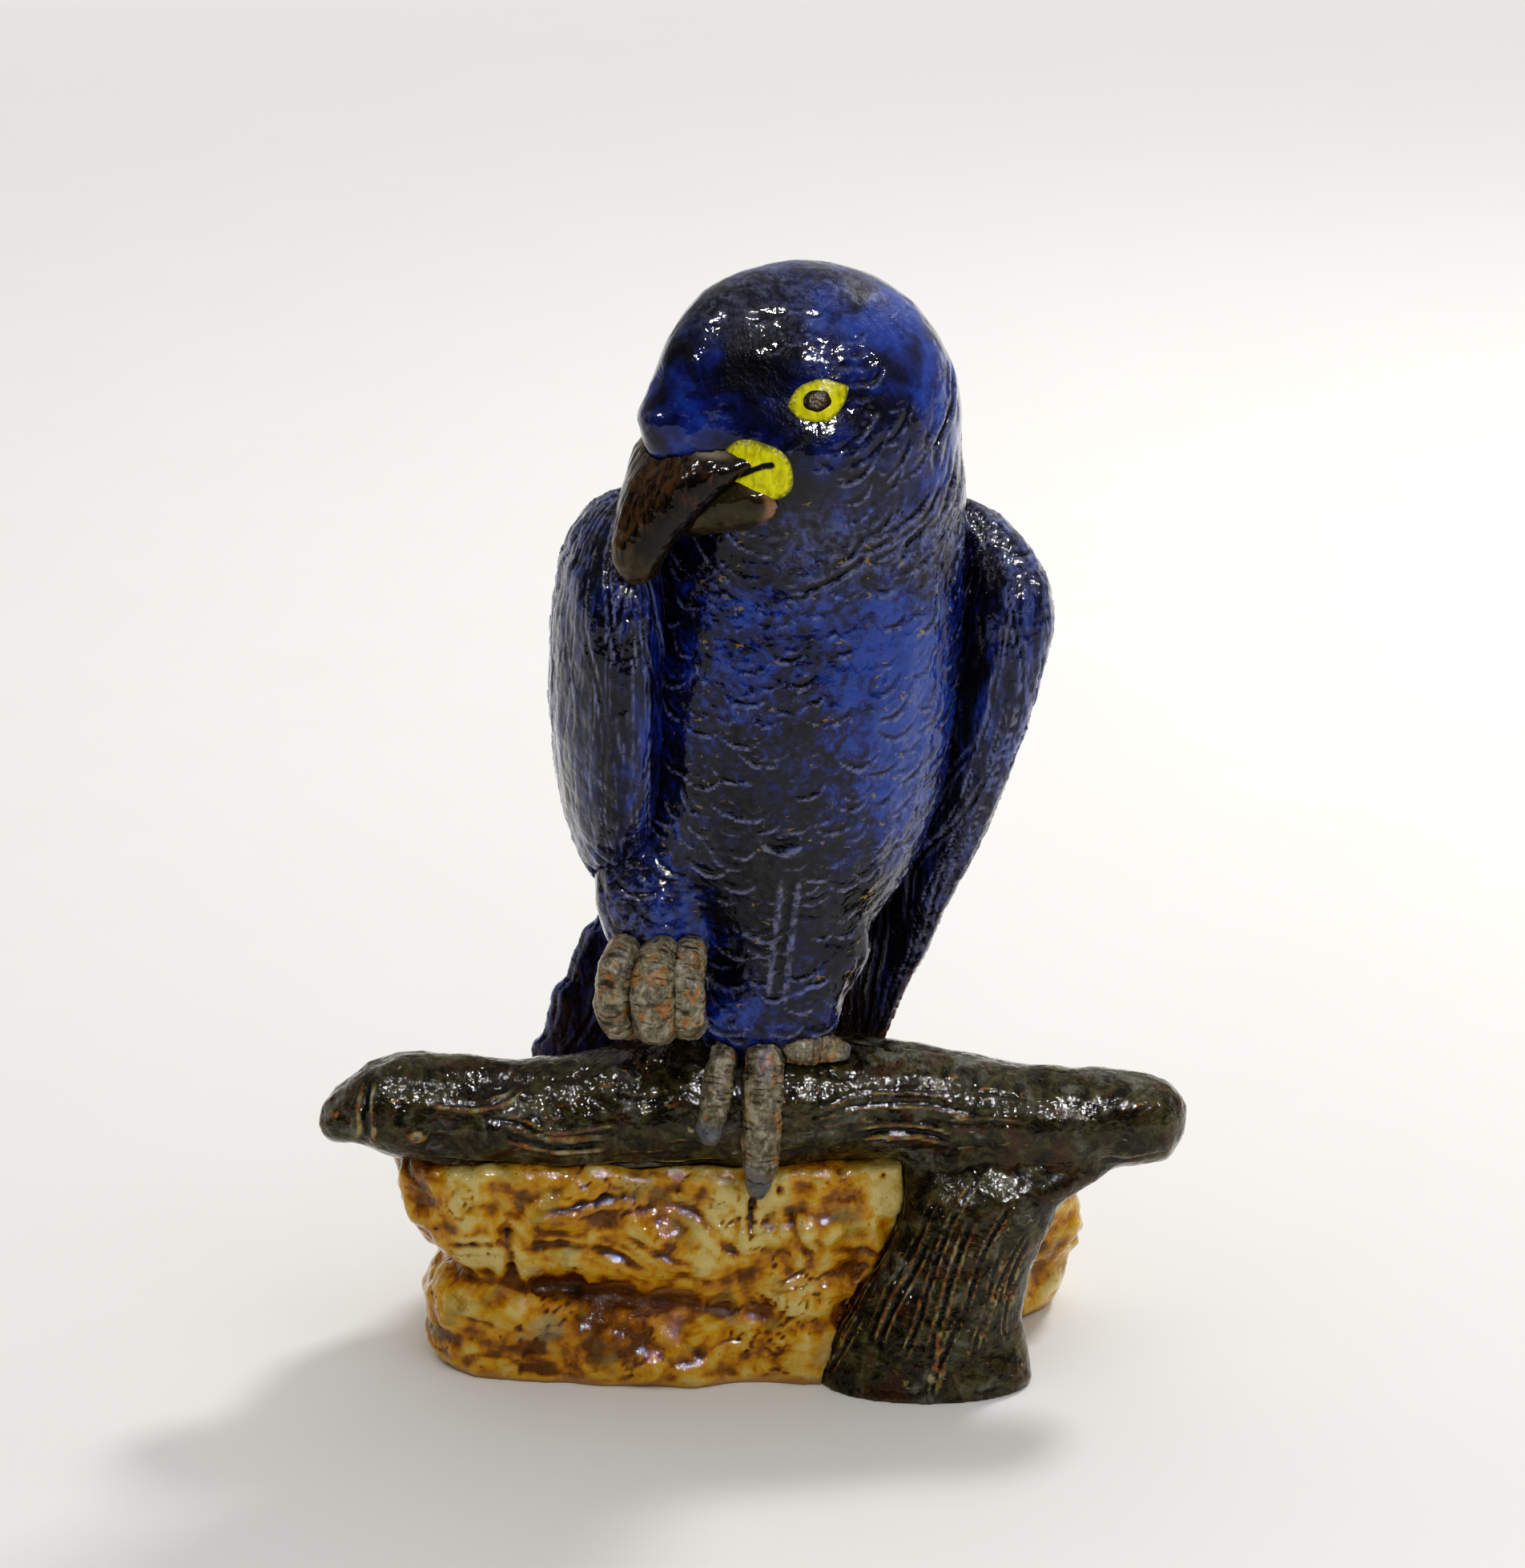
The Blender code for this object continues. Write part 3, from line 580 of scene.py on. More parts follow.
def blue_glaze(name, streak=None, royal=0.5):
    """Cobalt glaze: royal where it lies even, near black where it pools, grey where it breaks on an edge; the
    tone and bare layers also carry painted light and sheen.
    """
    g = Glaze(name)
    lip, pool, fine, broad, tone, calm, olive, bare, flecked = g.read(
        "lip pool fine broad tone calm olive bare fleck")
    cloud = g.noise(15.0, 3.0, 0.6, 0.8)
    patch = g.noise(4.8, 4.0, 0.68, 0.8, streak, 3.0)
    speck = g.noise(1.7, 3.0, 0.65, 0.3, streak, 7.0)
    feathered = cloud * 0.30 + patch * 0.70 + tone * 0.15
    even = g.noise(13.0, 2.0, 0.5, 0.5, None, 31.0) * 0.75 + patch * 0.25 + (tone * 0.12 + 0.005)
    amount = calm.mix(feathered, even) + (speck - 0.5) * 0.38 * calm.band(0.0, 1.0, 1.0, 0.25)
    blue = amount.band(0.345, 0.84 - 0.22 * royal).ramp(
        (0.0, (0.0018, 0.0021, 0.0052)), (0.25, (0.0034, 0.0043, 0.017)), (0.50, (0.0062, 0.0095, 0.052)),
        (0.75, (0.0110, 0.022, 0.145)), (1.0, (0.018, 0.058, 0.32)))
    dull = g.noise(8.0, 3.0, 0.6, 0.5, streak, 19.0).band(0.46, 0.70) * olive
    smoky = speck.band(0.35, 0.65).mix((0.0036, 0.0035, 0.0036), (0.010, 0.011, 0.014))
    blue = (dull * 0.82).mix(blue, smoky)
    worn = (lip.band(0.06, 0.55) * 0.88 + fine.band(0.20, 1.3) * 0.55 + broad.band(0.3, 1.2) * 0.20
            + bare * patch.band(0.36, 0.64, 0.15, 0.85))
    thin = speck.band(0.3, 0.7).mix((0.034, 0.042, 0.115), amount.band(0.42, 0.62).mix(
        (0.180, 0.182, 0.262), (0.135, 0.165, 0.370)))
    blue = worn.masked(speck.band(0.32, 0.60, 0.20, 1.10)).mix(blue, thin)
    rubbed = lip.band(0.55, 1.15) * speck.band(0.47, 0.63)
    blue = (rubbed * 0.65).mix(blue, (0.30, 0.28, 0.28))
    deep = (pool.band(0.18, 1.1) * 0.62 + fine.band(-0.15, -1.2) * 0.6).plus(broad.band(-0.25, -1.3) * 0.75)
    blue = deep.mix(blue, (0.0018, 0.0019, 0.0042))
    fleck = g.noise(3.1, 1.0, 0.4, 0.9, (1.0, 1.0, 1.7), 11.0).band(0.700, 0.745) * speck.band(0.44, 0.52)
    fleck = (fleck * 0.8).most(lip.band(0.75, 1.2) * patch.band(0.60, 0.66)) * flecked
    blue = fleck.mix(blue, speck.band(0.4, 0.6).mix((0.40, 0.17, 0.03), (0.26, 0.20, 0.04)))
    rough = g.noise(5.0, 2.0, 0.6, 0.0, None, 5.0).band(0.3, 0.7, 0.2, 0.4)
    clay = g.bump(speck + g.noise(0.8, 2.0, 0.6) * 0.4, 0.4, 0.6)
    orange_peel = g.noise(3.2, 2.0, 0.45, 0.4, None, 2.0) + speck * 0.22
    skin = g.bump(orange_peel, 0.75, calm.band(0.0, 1.0, 0.7, 0.38))
    return g.coat(blue, rough, clay, skin, 1.0, patch.band(0.3, 0.7, 0.02, 0.10))


def branch_glaze():
    """Ash glaze: olive-black and brown, clouded with milky blue-grey, rusty along the edge of every cut."""
    g = Glaze("branch_glaze_fired")
    lip, pool, fine, broad = g.read("lip pool fine broad")
    cloud, patch = g.noise(10.0, 3.0, 0.55, 0.9), g.noise(5.0, 3.0, 0.6, 0.9, None, 3.0)
    speck = g.noise(1.4, 3.0, 0.65, 0.3)
    base = (patch * 0.75 + speck * 0.25).band(0.32, 0.68).ramp(
        (0.0, (0.0050, 0.0038, 0.0008)), (0.30, (0.016, 0.0120, 0.0024)), (0.55, (0.034, 0.028, 0.0060)),
        (0.78, (0.056, 0.049, 0.014)), (1.0, (0.090, 0.074, 0.028)))
    brown = g.noise(8.0, 3.0, 0.6, 0.7, None, 9.0).band(0.52, 0.66)
    base = (brown * 0.7).mix(base, speck.mix((0.030, 0.014, 0.0035), (0.095, 0.036, 0.012)))
    milk = cloud.band(0.52, 0.68) * patch.band(0.36, 0.62, 0.05, 1.0)
    base = (milk * 0.75).mix(base, speck.band(0.25, 0.75).mix((0.072, 0.082, 0.074), (0.215, 0.225, 0.195)))
    worn = fine.band(0.3, 1.6) * 0.45 + broad.band(0.3, 1.4) * 0.15
    base = worn.masked(speck.band(0.36, 0.6)).mix(base, (0.125, 0.098, 0.055))
    deep = (pool.band(0.15, 0.9) * 0.9).plus(fine.band(-0.2, -1.3) * 0.65).plus(broad.band(-0.3, -1.2) * 0.6)
    base = deep.mix(base, (0.0050, 0.0038, 0.0014))
    rust = lip.band(0.2, 0.7) * g.noise(3.6, 3.0, 0.6, 0.0, None, 13.0).band(0.30, 0.50)
    stray = g.noise(2.3, 2.0, 0.5, 0.9, (0.6, 1.0, 1.0), 17.0).band(0.665, 0.72)
    stray = stray * fine.band(-0.4, 0.6, 0.1, 0.8)
    tint = g.noise(2.8, 2.0, 0.5, 0.0, None, 27.0).band(0.3, 0.7).ramp(
        (0.0, (0.22, 0.075, 0.045)), (0.45, (0.38, 0.165, 0.045)), (0.7, (0.32, 0.28, 0.07)),
        (1.0, (0.42, 0.37, 0.27)))
    base = (rust * 0.9).most(stray).mix(base, tint)
    clay = g.bump(speck + g.noise(0.7, 2.0, 0.6) * 0.4, 0.6, 0.7)
    skin = g.bump(g.noise(2.8, 2.0, 0.45, 0.4, None, 2.0) + speck * 0.22, 0.85, 0.75)
    return g.coat(base, patch.band(0.3, 0.7, 0.18, 0.38), clay, skin, 0.85, 0.025)


def rock_glaze():
    """Honey glaze over white slip: cream where it ran thin, amber to caramel where it lies thick."""
    g = Glaze("rock_glaze_fired")
    pool, fine, broad, tone, foot, dull = g.read("pool fine broad tone foot dull")
    cloud, patch = g.noise(17.0, 4.0, 0.6, 1.0), g.noise(7.0, 4.0, 0.62, 1.0, None, 4.0)
    speck = g.noise(1.5, 3.0, 0.65, 0.3)
    run = g.noise(4.0, 3.0, 0.6, 0.8, (0.55, 0.55, 1.0), 25.0)
    depth = (cloud * 0.62 + patch * 0.30 + run * 0.20 + broad.band(-1.4, 1.4, -1.0, 1.0) * -0.075
             + fine.band(-1.6, 1.6, -1.0, 1.0) * -0.06 + tone * -0.13)
    base = depth.band(0.31, 0.74).ramp(
        (0.0, (0.67, 0.53, 0.20)), (0.15, (0.61, 0.40, 0.075)), (0.36, (0.60, 0.315, 0.010)),
        (0.60, (0.49, 0.205, 0.004)), (0.80, (0.31, 0.115, 0.003)), (1.0, (0.125, 0.044, 0.002)))
    olive = g.noise(10.0, 3.0, 0.6, 0.5, None, 8.0).band(0.55, 0.70) * 0.55
    base = olive.mix(base, patch.mix((0.16, 0.115, 0.018), (0.40, 0.34, 0.11)))
    grey = g.noise(13.0, 2.0, 0.5, 0.3, None, 15.0).band(0.62, 0.74) * 0.5
    base = grey.mix(base, (0.36, 0.33, 0.22))
    streak = run.band(0.58, 0.72) * 0.40
    base = streak.mix(base, (0.24, 0.085, 0.008))
    hollow = (broad.band(-0.5, -1.8) * 0.55).plus(fine.band(-0.4, -1.8) * 0.45)
    base = hollow.mix(base, (0.170, 0.066, 0.003))
    # deep: glaze pooled in cuts and creases, and painted shade where the pool layer marks the rock's recesses
    deep = (pool.band(0.3, 1.1) * 0.85).plus(fine.band(-1.2, -3.0) * 0.5)
    base = deep.mix(base, (0.022, 0.011, 0.003))
    pin = g.noise(1.25, 1.0, 0.4, 0.0, None, 21.0).band(0.72, 0.77) * 0.5
    base = pin.mix(base, (0.055, 0.024, 0.008))
    base = foot.mix(base, speck.mix((0.34, 0.15, 0.06), (0.46, 0.29, 0.15)))
    clay = g.bump(speck + g.noise(0.7, 2.0, 0.6) * 0.4, 0.7, 0.7)
    skin = g.bump(g.noise(2.8, 2.0, 0.5, 0.4, None, 2.0) + speck * 0.25, 0.90, 0.75)
    glazed = foot.band(0.2, 0.9, 1.0, 0.1) * dull.band(0.0, 1.0, 1.0, 0.15)
    return g.coat(base, patch.band(0.3, 0.7, 0.14, 0.32), clay, skin, glazed, 0.025)


def beak_glaze(name, lower=False):
    """Dark iron glaze with reddish runs along the beak, thin and taupe at the tip and the cutting edge."""
    g = Glaze(name)
    along, low, fine = g.read("along low fine")
    speck, patch = g.noise(1.0, 3.0, 0.6), g.noise(5.0, 3.0, 0.6, 0.8)
    grain = g.noise(1.3, 4.0, 0.65, 0.5, (1.0, 1.0, 0.28), 4.0)
    taupe = patch.band(0.3, 0.7).mix((0.021, 0.0135, 0.003), (0.056, 0.038, 0.013))
    taupe = (speck.band(0.56, 0.74) * 0.6).mix(taupe, (0.11, 0.080, 0.050))
    if lower:
        (tan,) = g.read("tan")
        base = g.noise(8.0, 2.0, 0.5, 0.0, None, 6.0).band(0.48, 0.62).mix(taupe, (0.036, 0.030, 0.010))
        # painted shade: the lower half darkens towards its underside
        base = low.band(0.2, 1.0, 0.0, 0.5).mix(base, (0.018, 0.014, 0.006))
        base = (tan * speck.band(0.28, 0.55, 0.6, 1.0)).mix(base, (0.27, 0.145, 0.085))
    else:
        (cere,) = g.read("cere")
        dark = (patch * 0.35 + grain * 0.65).band(0.36, 0.72).ramp(
            (0.0, (0.0030, 0.0020, 0.0010)), (0.45, (0.0080, 0.0048, 0.0020)),
            (0.66, (0.022, 0.0090, 0.0034)), (0.86, (0.055, 0.016, 0.0060)), (1.0, (0.090, 0.032, 0.011)))
        edge = (low + (patch - 0.5) * 0.4).band(0.9, 1.5)
        tip = (edge * 0.8).plus((along + (patch - 0.5) * 0.2).band(0.78, 0.94))
        base = (tip * grain.band(0.3, 0.6, 0.45, 0.95)).mix(dark, taupe)
        back = low.band(-0.9, -1.5) * grain.band(0.36, 0.60)
        base = (back * 0.6).mix(base, (0.12, 0.070, 0.028))
        base = (cere * speck.band(0.22, 0.46, 0.45, 0.95)).mix(base, (0.33, 0.27, 0.20))
    base = (fine.band(-0.25, -1.2) * 0.7).mix(base, (0.004, 0.003, 0.002))
    clay = g.bump(speck + grain, 0.3, 0.6)
    skin = g.bump(g.noise(2.8, 2.0, 0.45, 0.0, None, 2.0) + grain * 0.25, 0.45, 0.6)
    return g.coat(base, patch.band(0.3, 0.7, 0.16, 0.34), clay, skin, 0.8, 0.03)


def yellow_glaze(name):
    """Brushed-on yellow-green, nearly matte, thin enough at its edge for the blue to show."""
    g = Glaze(name)
    rim, slit = g.read("rim slit")
    speck = g.noise(0.9, 3.0, 0.6)
    brush, patch = g.noise(1.3, 4.0, 0.6, 0.5, (1.0, 1.0, 0.35), 3.0), g.noise(4.5, 2.0)
    base = (brush * 0.7 + patch * 0.35).band(0.3, 0.75).ramp(
        (0.0, (0.36, 0.34, 0.007)), (0.35, (0.64, 0.61, 0.009)), (0.7, (0.84, 0.80, 0.016)),
        (1.0, (0.88, 0.84, 0.060)))
    worn = (rim + (speck - 0.5) * 0.5).band(0.80, 1.0) * 0.75
    base = worn.mix(base, (0.055, 0.065, 0.03))
    base = slit.band(0.25, 0.7).mix(base, (0.012, 0.009, 0.005))
    clay = g.bump(brush + speck * 0.5, 0.22, 0.6)
    return g.coat(base, patch.band(0.3, 0.7, 0.30, 0.50), clay, clay, 0.35, 0.16)


def pupil_glaze(name):
    """Warm brown, darker round its edge."""
    g = Glaze(name)
    (rim,) = g.read("rim")
    speck = g.noise(0.7, 3.0, 0.6)
    base = (rim + (speck - 0.5) * 0.6).band(0.35, 0.95).mix((0.085, 0.045, 0.020), (0.014, 0.010, 0.006))
    base = speck.band(0.58, 0.7).mix(base, (0.075, 0.060, 0.02))
    clay = g.bump(speck, 0.2, 0.5)
    return g.coat(base, 0.4, clay, clay, 0.25, 0.2)


def foot_glaze():
    """Thin grey-tan glaze, flashed orange and ochre, milky blue on the claws."""
    g = Glaze("foot_glaze_fired")
    pool, fine, broad, along, claw = g.read("pool fine broad along claw")
    patch, speck = g.noise(3.6, 3.0, 0.62, 0.6), g.noise(0.9, 3.0, 0.65, 0.3)
    base = (patch * 0.6 + speck * 0.4).band(0.34, 0.66).ramp(
        (0.0, (0.070, 0.062, 0.042)), (0.35, (0.155, 0.138, 0.092)), (0.65, (0.260, 0.232, 0.160)),
        (1.0, (0.45, 0.40, 0.29)))
    rust = g.noise(4.2, 3.0, 0.6, 0.8, None, 9.0).band(0.52, 0.64) * speck.band(0.36, 0.56, 0.25, 1.0)
    tint = g.noise(2.0, 2.0, 0.5, 0.0, None, 29.0).band(0.3, 0.7).ramp(
        (0.0, (0.36, 0.085, 0.022)), (0.4, (0.48, 0.180, 0.020)), (0.7, (0.36, 0.235, 0.036)),
        (1.0, (0.46, 0.29, 0.19)))
    base = (rust * 0.85).mix(base, tint)
    steel = (along + (patch - 0.5) * 0.3).band(0.70, 0.86) * (claw * 0.8)
    base = steel.mix(base, patch.mix((0.040, 0.045, 0.055), (0.16, 0.19, 0.26)))
    deep = (pool.band(0.15, 0.9) * 0.85).plus(fine.band(-0.3, -1.4) * 0.75).plus(broad.band(-0.3, -1.2) * 0.5)
    base = deep.mix(base, (0.012, 0.009, 0.005))
    clay = g.bump(speck + g.noise(0.5, 2.0) * 0.5, 0.5, 0.8)
    skin = g.bump(g.noise(1.8, 3.0, 0.6, 0.0, None, 2.0) + speck * 0.5, 0.50, 0.7)
    return g.coat(base, patch.band(0.3, 0.7, 0.25, 0.45), clay, skin, 0.8, 0.06)


# ---------------------------------------------------------------- the bird


BODY_TONES_AND_PAINTED_LIGHT = (  # where the blue is brighter or darker, partly glaze tone and partly painted light (the bright patches on the right of the chest, where the light falls, and a painted sheen at the top left of the head): strength, x, z, half width, half height
    (1.7, 34, 162, 12, 26), (0.8, 24, 182, 14, 9), (1.2, 26, 250, 13, 8), (1.1, 14, 254, 8, 5),
    (1.2, 40, 234, 6, 12), (0.8, -5, 171, 8, 10), (1.3, -16, 112, 8, 12), (1.0, -4, 93, 12, 6),
    (0.7, 2, 190, 16, 7), (0.3, -14, 246, 12, 12), (0.5, 30, 140, 8, 14), (-0.7, 2, 126, 11, 20),
    (-0.6, 24, 120, 10, 18), (-0.3, 10, 219, 16, 6), (-0.4, -2, 100, 16, 8))
BELLY_OLIVE = ((1.2, 2, 128, 12, 22), (0.8, 20, 112, 12, 16))
NECK_OLIVE = ((0.2, 8, 208, 26, 8),)
BODY_CUTS = (  # (x, z) points, width, depth, lip, lip above and below
    # the edge of the facial disc, the groove down the belly and the crease over it
    ([(41.0, 246.0), (43.6, 238.5), (43.2, 231.0), (40.2, 225.5), (39.6, 219.0)], 1.0, 0.85, 0.35),
    ([(8.5, 128.0), (7.2, 115.0), (6.0, 104.0), (5.4, 95.0)], 1.1, 0.7, 0.2),
    ([(2.5, 137.5), (6.5, 136.2), (10.5, 137.4)], 1.3, 1.2, 0.5, (0.0, 1.0)))
HEAD_PINHOLES = ((33.8, 252.0), (-8.0, 233.0), (28.0, 226.0), (20.0, 236.0), (4.0, 212.0))
WING_CUTS = (
    ([(-40.5, 127.0), (-38.0, 124.0), (-34.0, 122.5)], 0.8, 0.9, 0.4),
    ([(-37.0, 131.0), (-34.0, 127.5), (-31.0, 126.0)], 0.8, 0.9, 0.4),
    ([(-42.0, 133.0), (-41.0, 128.0)], 0.8, 0.9, 0.4))


def make_body():
    """Torso, head and thighs in one skin, as slip and glaze hide their seams."""
    body = Clay("bird_clay", ["torso", "head", "thigh_left", "thigh_right"], voxel=0.78,
                plugs=[vent_plug(low=76.0, high=112.0)])
    body.relax(34)
    body.fillet(rounds=26, share=0.9, repeats=4)
    body.relax(6)
    crown = ease(206.0, 224.0, body.co[:, 2])  # the head is smoother than the rest
    body.push((0.45 - 0.30 * crown) * lumps(body.co, 19.0, 1)
              + (0.34 - 0.22 * crown) * lumps(body.co, 8.0, 2))
    face_relief(body)
    x, y, z = body.co.T
    body.push(-2.6 * ease(17.0, 24.0, x) * bell((z - 92.0) / 9.0) * ease(10.0, 0.0, y))
    feather(body)
    face_marks(body)
    body.push((0.13 - 0.09 * crown) * lumps(body.co, 2.6, 4, 2))
    x, y, z = body.co.T
    front = ease(14.0, 4.0, y)
    # tone: glaze variation, plus painted light on the right of the chest and a painted sheen on the head
    body.extra["tone"] = patches(body.co, front, BODY_TONES_AND_PAINTED_LIGHT)
    olive = patches(body.co, front, BELLY_OLIVE) + 0.28 + patches(body.co, front, NECK_OLIVE)
    body.extra["olive"] = np.clip(olive, 0, 1) * ease(232.0, 214.0, z)
    # bare: paler thin glaze on the neck and the thigh; on the top of the crown and on the right flank this
    # paleness is a painted sheen
    neck = bell((z - 204) / 9.5) * ease(-2.0, 14.0, x)
    thigh = 0.9 * bell((x + 29) / 8, (z - 114) / 12)
    flank_painted_sheen = 0.5 * bell((x - 39) / 6, (z - 140) / 22)
    body.extra["bare"] = np.clip(0.72 * neck + 0.55 * ease(244.0, 258.0, z) + thigh + flank_painted_sheen, 0, 1)
    body.extra["fleck"] = 1.0 - 0.95 * ease(212.0, 224.0, z)
    body.extra["calm"] = ease(206.0, 222.0, z)
    body.fire(blue_glaze("bird_glaze", royal=0.55), "blue_glaze")
    return body


def face_relief(body):
    """Eye hollows, brows and cheeks on both sides, then the forehead, crown and bridge over the beak."""
    for side in (1, -1):
        forward, left, up = in_head(body.co)
        eye = bell(np.hypot((forward - 13.0) / 10.5, (up - 15.0) / 8.0))
        brow = bell(np.hypot((forward - 12.0) / 14.0, (up - 24.5) / 4.0))
        cheek = bell(np.hypot((forward - 8.0) / 9.0, (up - 1.0) / 8.5))
        body.push(ease(4.0, 14.0, left * side) * (-1.5 * eye + 0.7 * brow + 0.6 * cheek))
    forward, left, up = in_head(body.co)
    body.push(1.2 * bell((forward - 19.0) / 10.0, (up - 30.0) / 8.0, (left + 8.0) / 20.0)
              + 2.0 * bell((forward - 7.0) / 11.0, (up - 36.0) / 7.0, left / 18.0)
              + 0.7 * bell((forward - 41.0) / 5.0, (up - 9.0) / 3.2, (left + 3.0) / 9.0))


def feather(body):
    """Curved tool marks in rows all round the chest, belly and neck."""
    chance = np.random.default_rng(23)
    co = body.co
    axis = np.stack([np.interp(co[:, 2], (80, 130, 200), (3.0, 5.5, 12.0)), np.zeros(len(co))], 1)
    away = co[:, :2] - axis
    turn = np.arctan2(away[:, 0], -away[:, 1])  # 0 in front, positive to the bird's left
    spread = np.linalg.norm(away, axis=1)
    stamps = []
    for row, level in enumerate(np.arange(84.0, 210.0, 5.0)):
        slice_spread = np.median(spread[np.abs(co[:, 2] - level) < 3.0])
        gap = 8.0 if level < 196 else 11.0
        count = max(int(2 * math.pi * slice_spread / gap), 6)
        for k in range(count):
            if chance.random() < 0.14:
                continue
            at = (k + 0.5 * (row % 2) + chance.uniform(-0.32, 0.32)) / count * 2 * math.pi
            at = (at + math.pi) % (2 * math.pi) - math.pi
            height = level + chance.uniform(-2.6, 2.6)
            around = np.abs((turn - at + math.pi) % (2 * math.pi) - math.pi)
            index = int(np.argmin((around * slice_spread) ** 2 + (co[:, 2] - height) ** 2))
            neck = level > 194
            half = chance.uniform(6.5, 11.0) if neck else chance.uniform(2.6, 5.8)
            sag = chance.uniform(1.6, 2.8) if neck else half * chance.uniform(0.35, 0.62)
            lean = (0.75 if neck else 0.5) * math.sin(at) + chance.uniform(-0.38, 0.38)
            force = chance.uniform(0.25, 1.0)
            stamps.append((index, half, sag, lean, 0.44 * force, 0.30 * force))
    body.scallops(stamps)


def face_marks(body):
    """Short strokes on the cheek and nape, dabs round the eyes, long cuts and pinholes."""
    chance = np.random.default_rng(31)
    co = body.co
    forward, left, up = in_head(co)
    stamps = []
    cheek = ((left > 6) & (forward < 6) & (up > -22) & (up < 8) & (co[:, 1] < 6)).nonzero()[0]
    for index in chance.choice(cheek, 46, replace=False):
        lean = 0.55 + 0.35 * ease(20.0, 42.0, co[index, 0]) + chance.uniform(-0.2, 0.2)
        force = chance.uniform(0.4, 1.0)
        stamps.append((index, chance.uniform(3.5, 7.5), chance.uniform(1.0, 2.4), lean,
                       0.42 * force, 0.26 * force))
    nape = ((forward < -8) & (up > -24) & (up < 12) & (co[:, 1] > 2)).nonzero()[0]
    for index in chance.choice(nape, 70, replace=False):
        force = chance.uniform(0.3, 0.9)
        stamps.append((index, chance.uniform(3.5, 6.5), chance.uniform(1.5, 3.0), chance.uniform(-0.3, 0.3),
                       0.40 * force, 0.25 * force))
    from_eye = np.hypot(forward - 12.0, up - 13.0)
    for side in (1, -1):
        round_eye = ((left * side > 8) & (from_eye > 9) & (from_eye < 19) & (forward < 19)).nonzero()[0]
        for index in chance.choice(round_eye, 42, replace=False):
            stamps.append((index, chance.uniform(1.4, 2.8), chance.uniform(0.4, 1.2),
                           chance.uniform(-0.5, 0.5), 0.26, 0.12))
    body.scallops(stamps)
    body.cuts(BODY_CUTS)
    body.dents([(point, 0.55, 0.5) for point in HEAD_PINHOLES])


def make_wing(name, node, side, out, count, seed):
    """A furrowed wing slab, with small feathers on its shoulder. Out is the sign of x on its outer side."""
    wing = Clay(name, [node], voxel=0.80)
    wing.relax(30)
    wing.fillet(rounds=24, share=0.8, repeats=3)
    wing.push(0.42 * lumps(wing.co, 15.0, seed) + 0.22 * lumps(wing.co, 6.0, seed + 1))
    outward = wing.normals()[:, 0] * out
    shoulder = ease(150.0, 164.0, wing.co[:, 2]) * ease(0.1, 0.5, outward) * ease(-4.0, 2.0, wing.co[:, 1])
    wing.furrows(side, count, depth=0.75, width=0.62, wander=0.9, seed=seed, share_at=1.0 - 0.9 * shoulder)
    wing.furrows(side, int(2.3 * count), depth=0.30, width=0.38, wander=1.6, cover=0.1, seed=seed + 5,
                 share_at=1.0 - 0.6 * shoulder)
    coverts(wing, out, seed)
    return wing


def coverts(wing, out, seed):
    """Rows of small overlapping feathers on the outer side of the shoulder, behind the leading edge."""
    chance = np.random.default_rng(seed)
    outer = ((wing.normals()[:, 0] * out > 0.3) & (wing.co[:, 1] > -2.0)).nonzero()[0]
    stamps = []
    for row, level in enumerate(np.arange(152.0, 208.0, 5.4)):
        for back in np.arange(-1.0, 44.0, 6.6):
            at = np.array((back + 3.3 * (row % 2) + chance.uniform(-0.8, 0.8),
                           level + chance.uniform(-0.9, 0.9)))
            away = np.hypot(*(wing.co[outer][:, 1:] - at).T)
            index = int(np.argmin(away))
            if away[index] < 1.5:
                force = chance.uniform(0.6, 1.0)
                stamps.append((outer[index], chance.uniform(3.3, 4.3), chance.uniform(2.2, 3.2),
                               chance.uniform(-0.15, 0.15), 0.46 * force, 0.32 * force))
    wing.scallops(stamps)


def finish_wing(wing, name, tone, pale):
    """Fires a wing or the tail, brighter where tone is high and paler where pale is high; the callers use
    pale for worn glaze and for painted sheen and light.
    """
    wing.push(0.12 * lumps(wing.co, 2.4, 8, 2))
    every = np.ones(len(wing.co))
    wing.extra.update(tone=tone * every, olive=0.22 * every, fleck=0.35 * every, bare=np.clip(pale, 0, 1))
    wing.fire(blue_glaze(name + "_glaze", (1.0, 1.0, 0.25), 0.45), "blue_glaze")


def make_wings():
    """Two wings, both worn at the shoulder and painted with a sheen along their outer edges, the right one
    with three nicks near its wrist.
    """
    left = make_wing("wing_left_clay", "wing_left", (-0.6, 0.8, 0.0), 1, 15, 40)
    x, _, z = left.co.T
    outer = ease(1.0, 9.0, x - left.centre_line()[:, 0])
    # painted light: the left wing's outer band is brighter low down and paler all along its outer side, where
    # the light falls; the extra pale up at the shoulder is worn glaze
    tone = 0.7 * outer * ease(110, 150, z) - 0.35
    finish_wing(left, "wing_left", tone, 0.55 * outer * ease(175, 200, z) + 0.38 * outer)
    right = make_wing("wing_right_clay", "wing_right", (-0.3, 1.0, 0.0), -1, 16, 60)
    x, _, z = right.co.T
    outer = ease(1.0, 8.0, right.centre_line()[:, 0] - x)
    right.cuts(WING_CUTS)
    tone = 0.9 * ease(-30.0, -20.0, x) - 0.1
    # the right wing's outer edge is paler below the shoulder, a painted sheen; the pale at the top of the
    # shoulder is worn glaze
    finish_wing(right, "wing_right", tone, 0.85 * outer * ease(215, 190, z) + 0.25 * ease(205, 212, z))


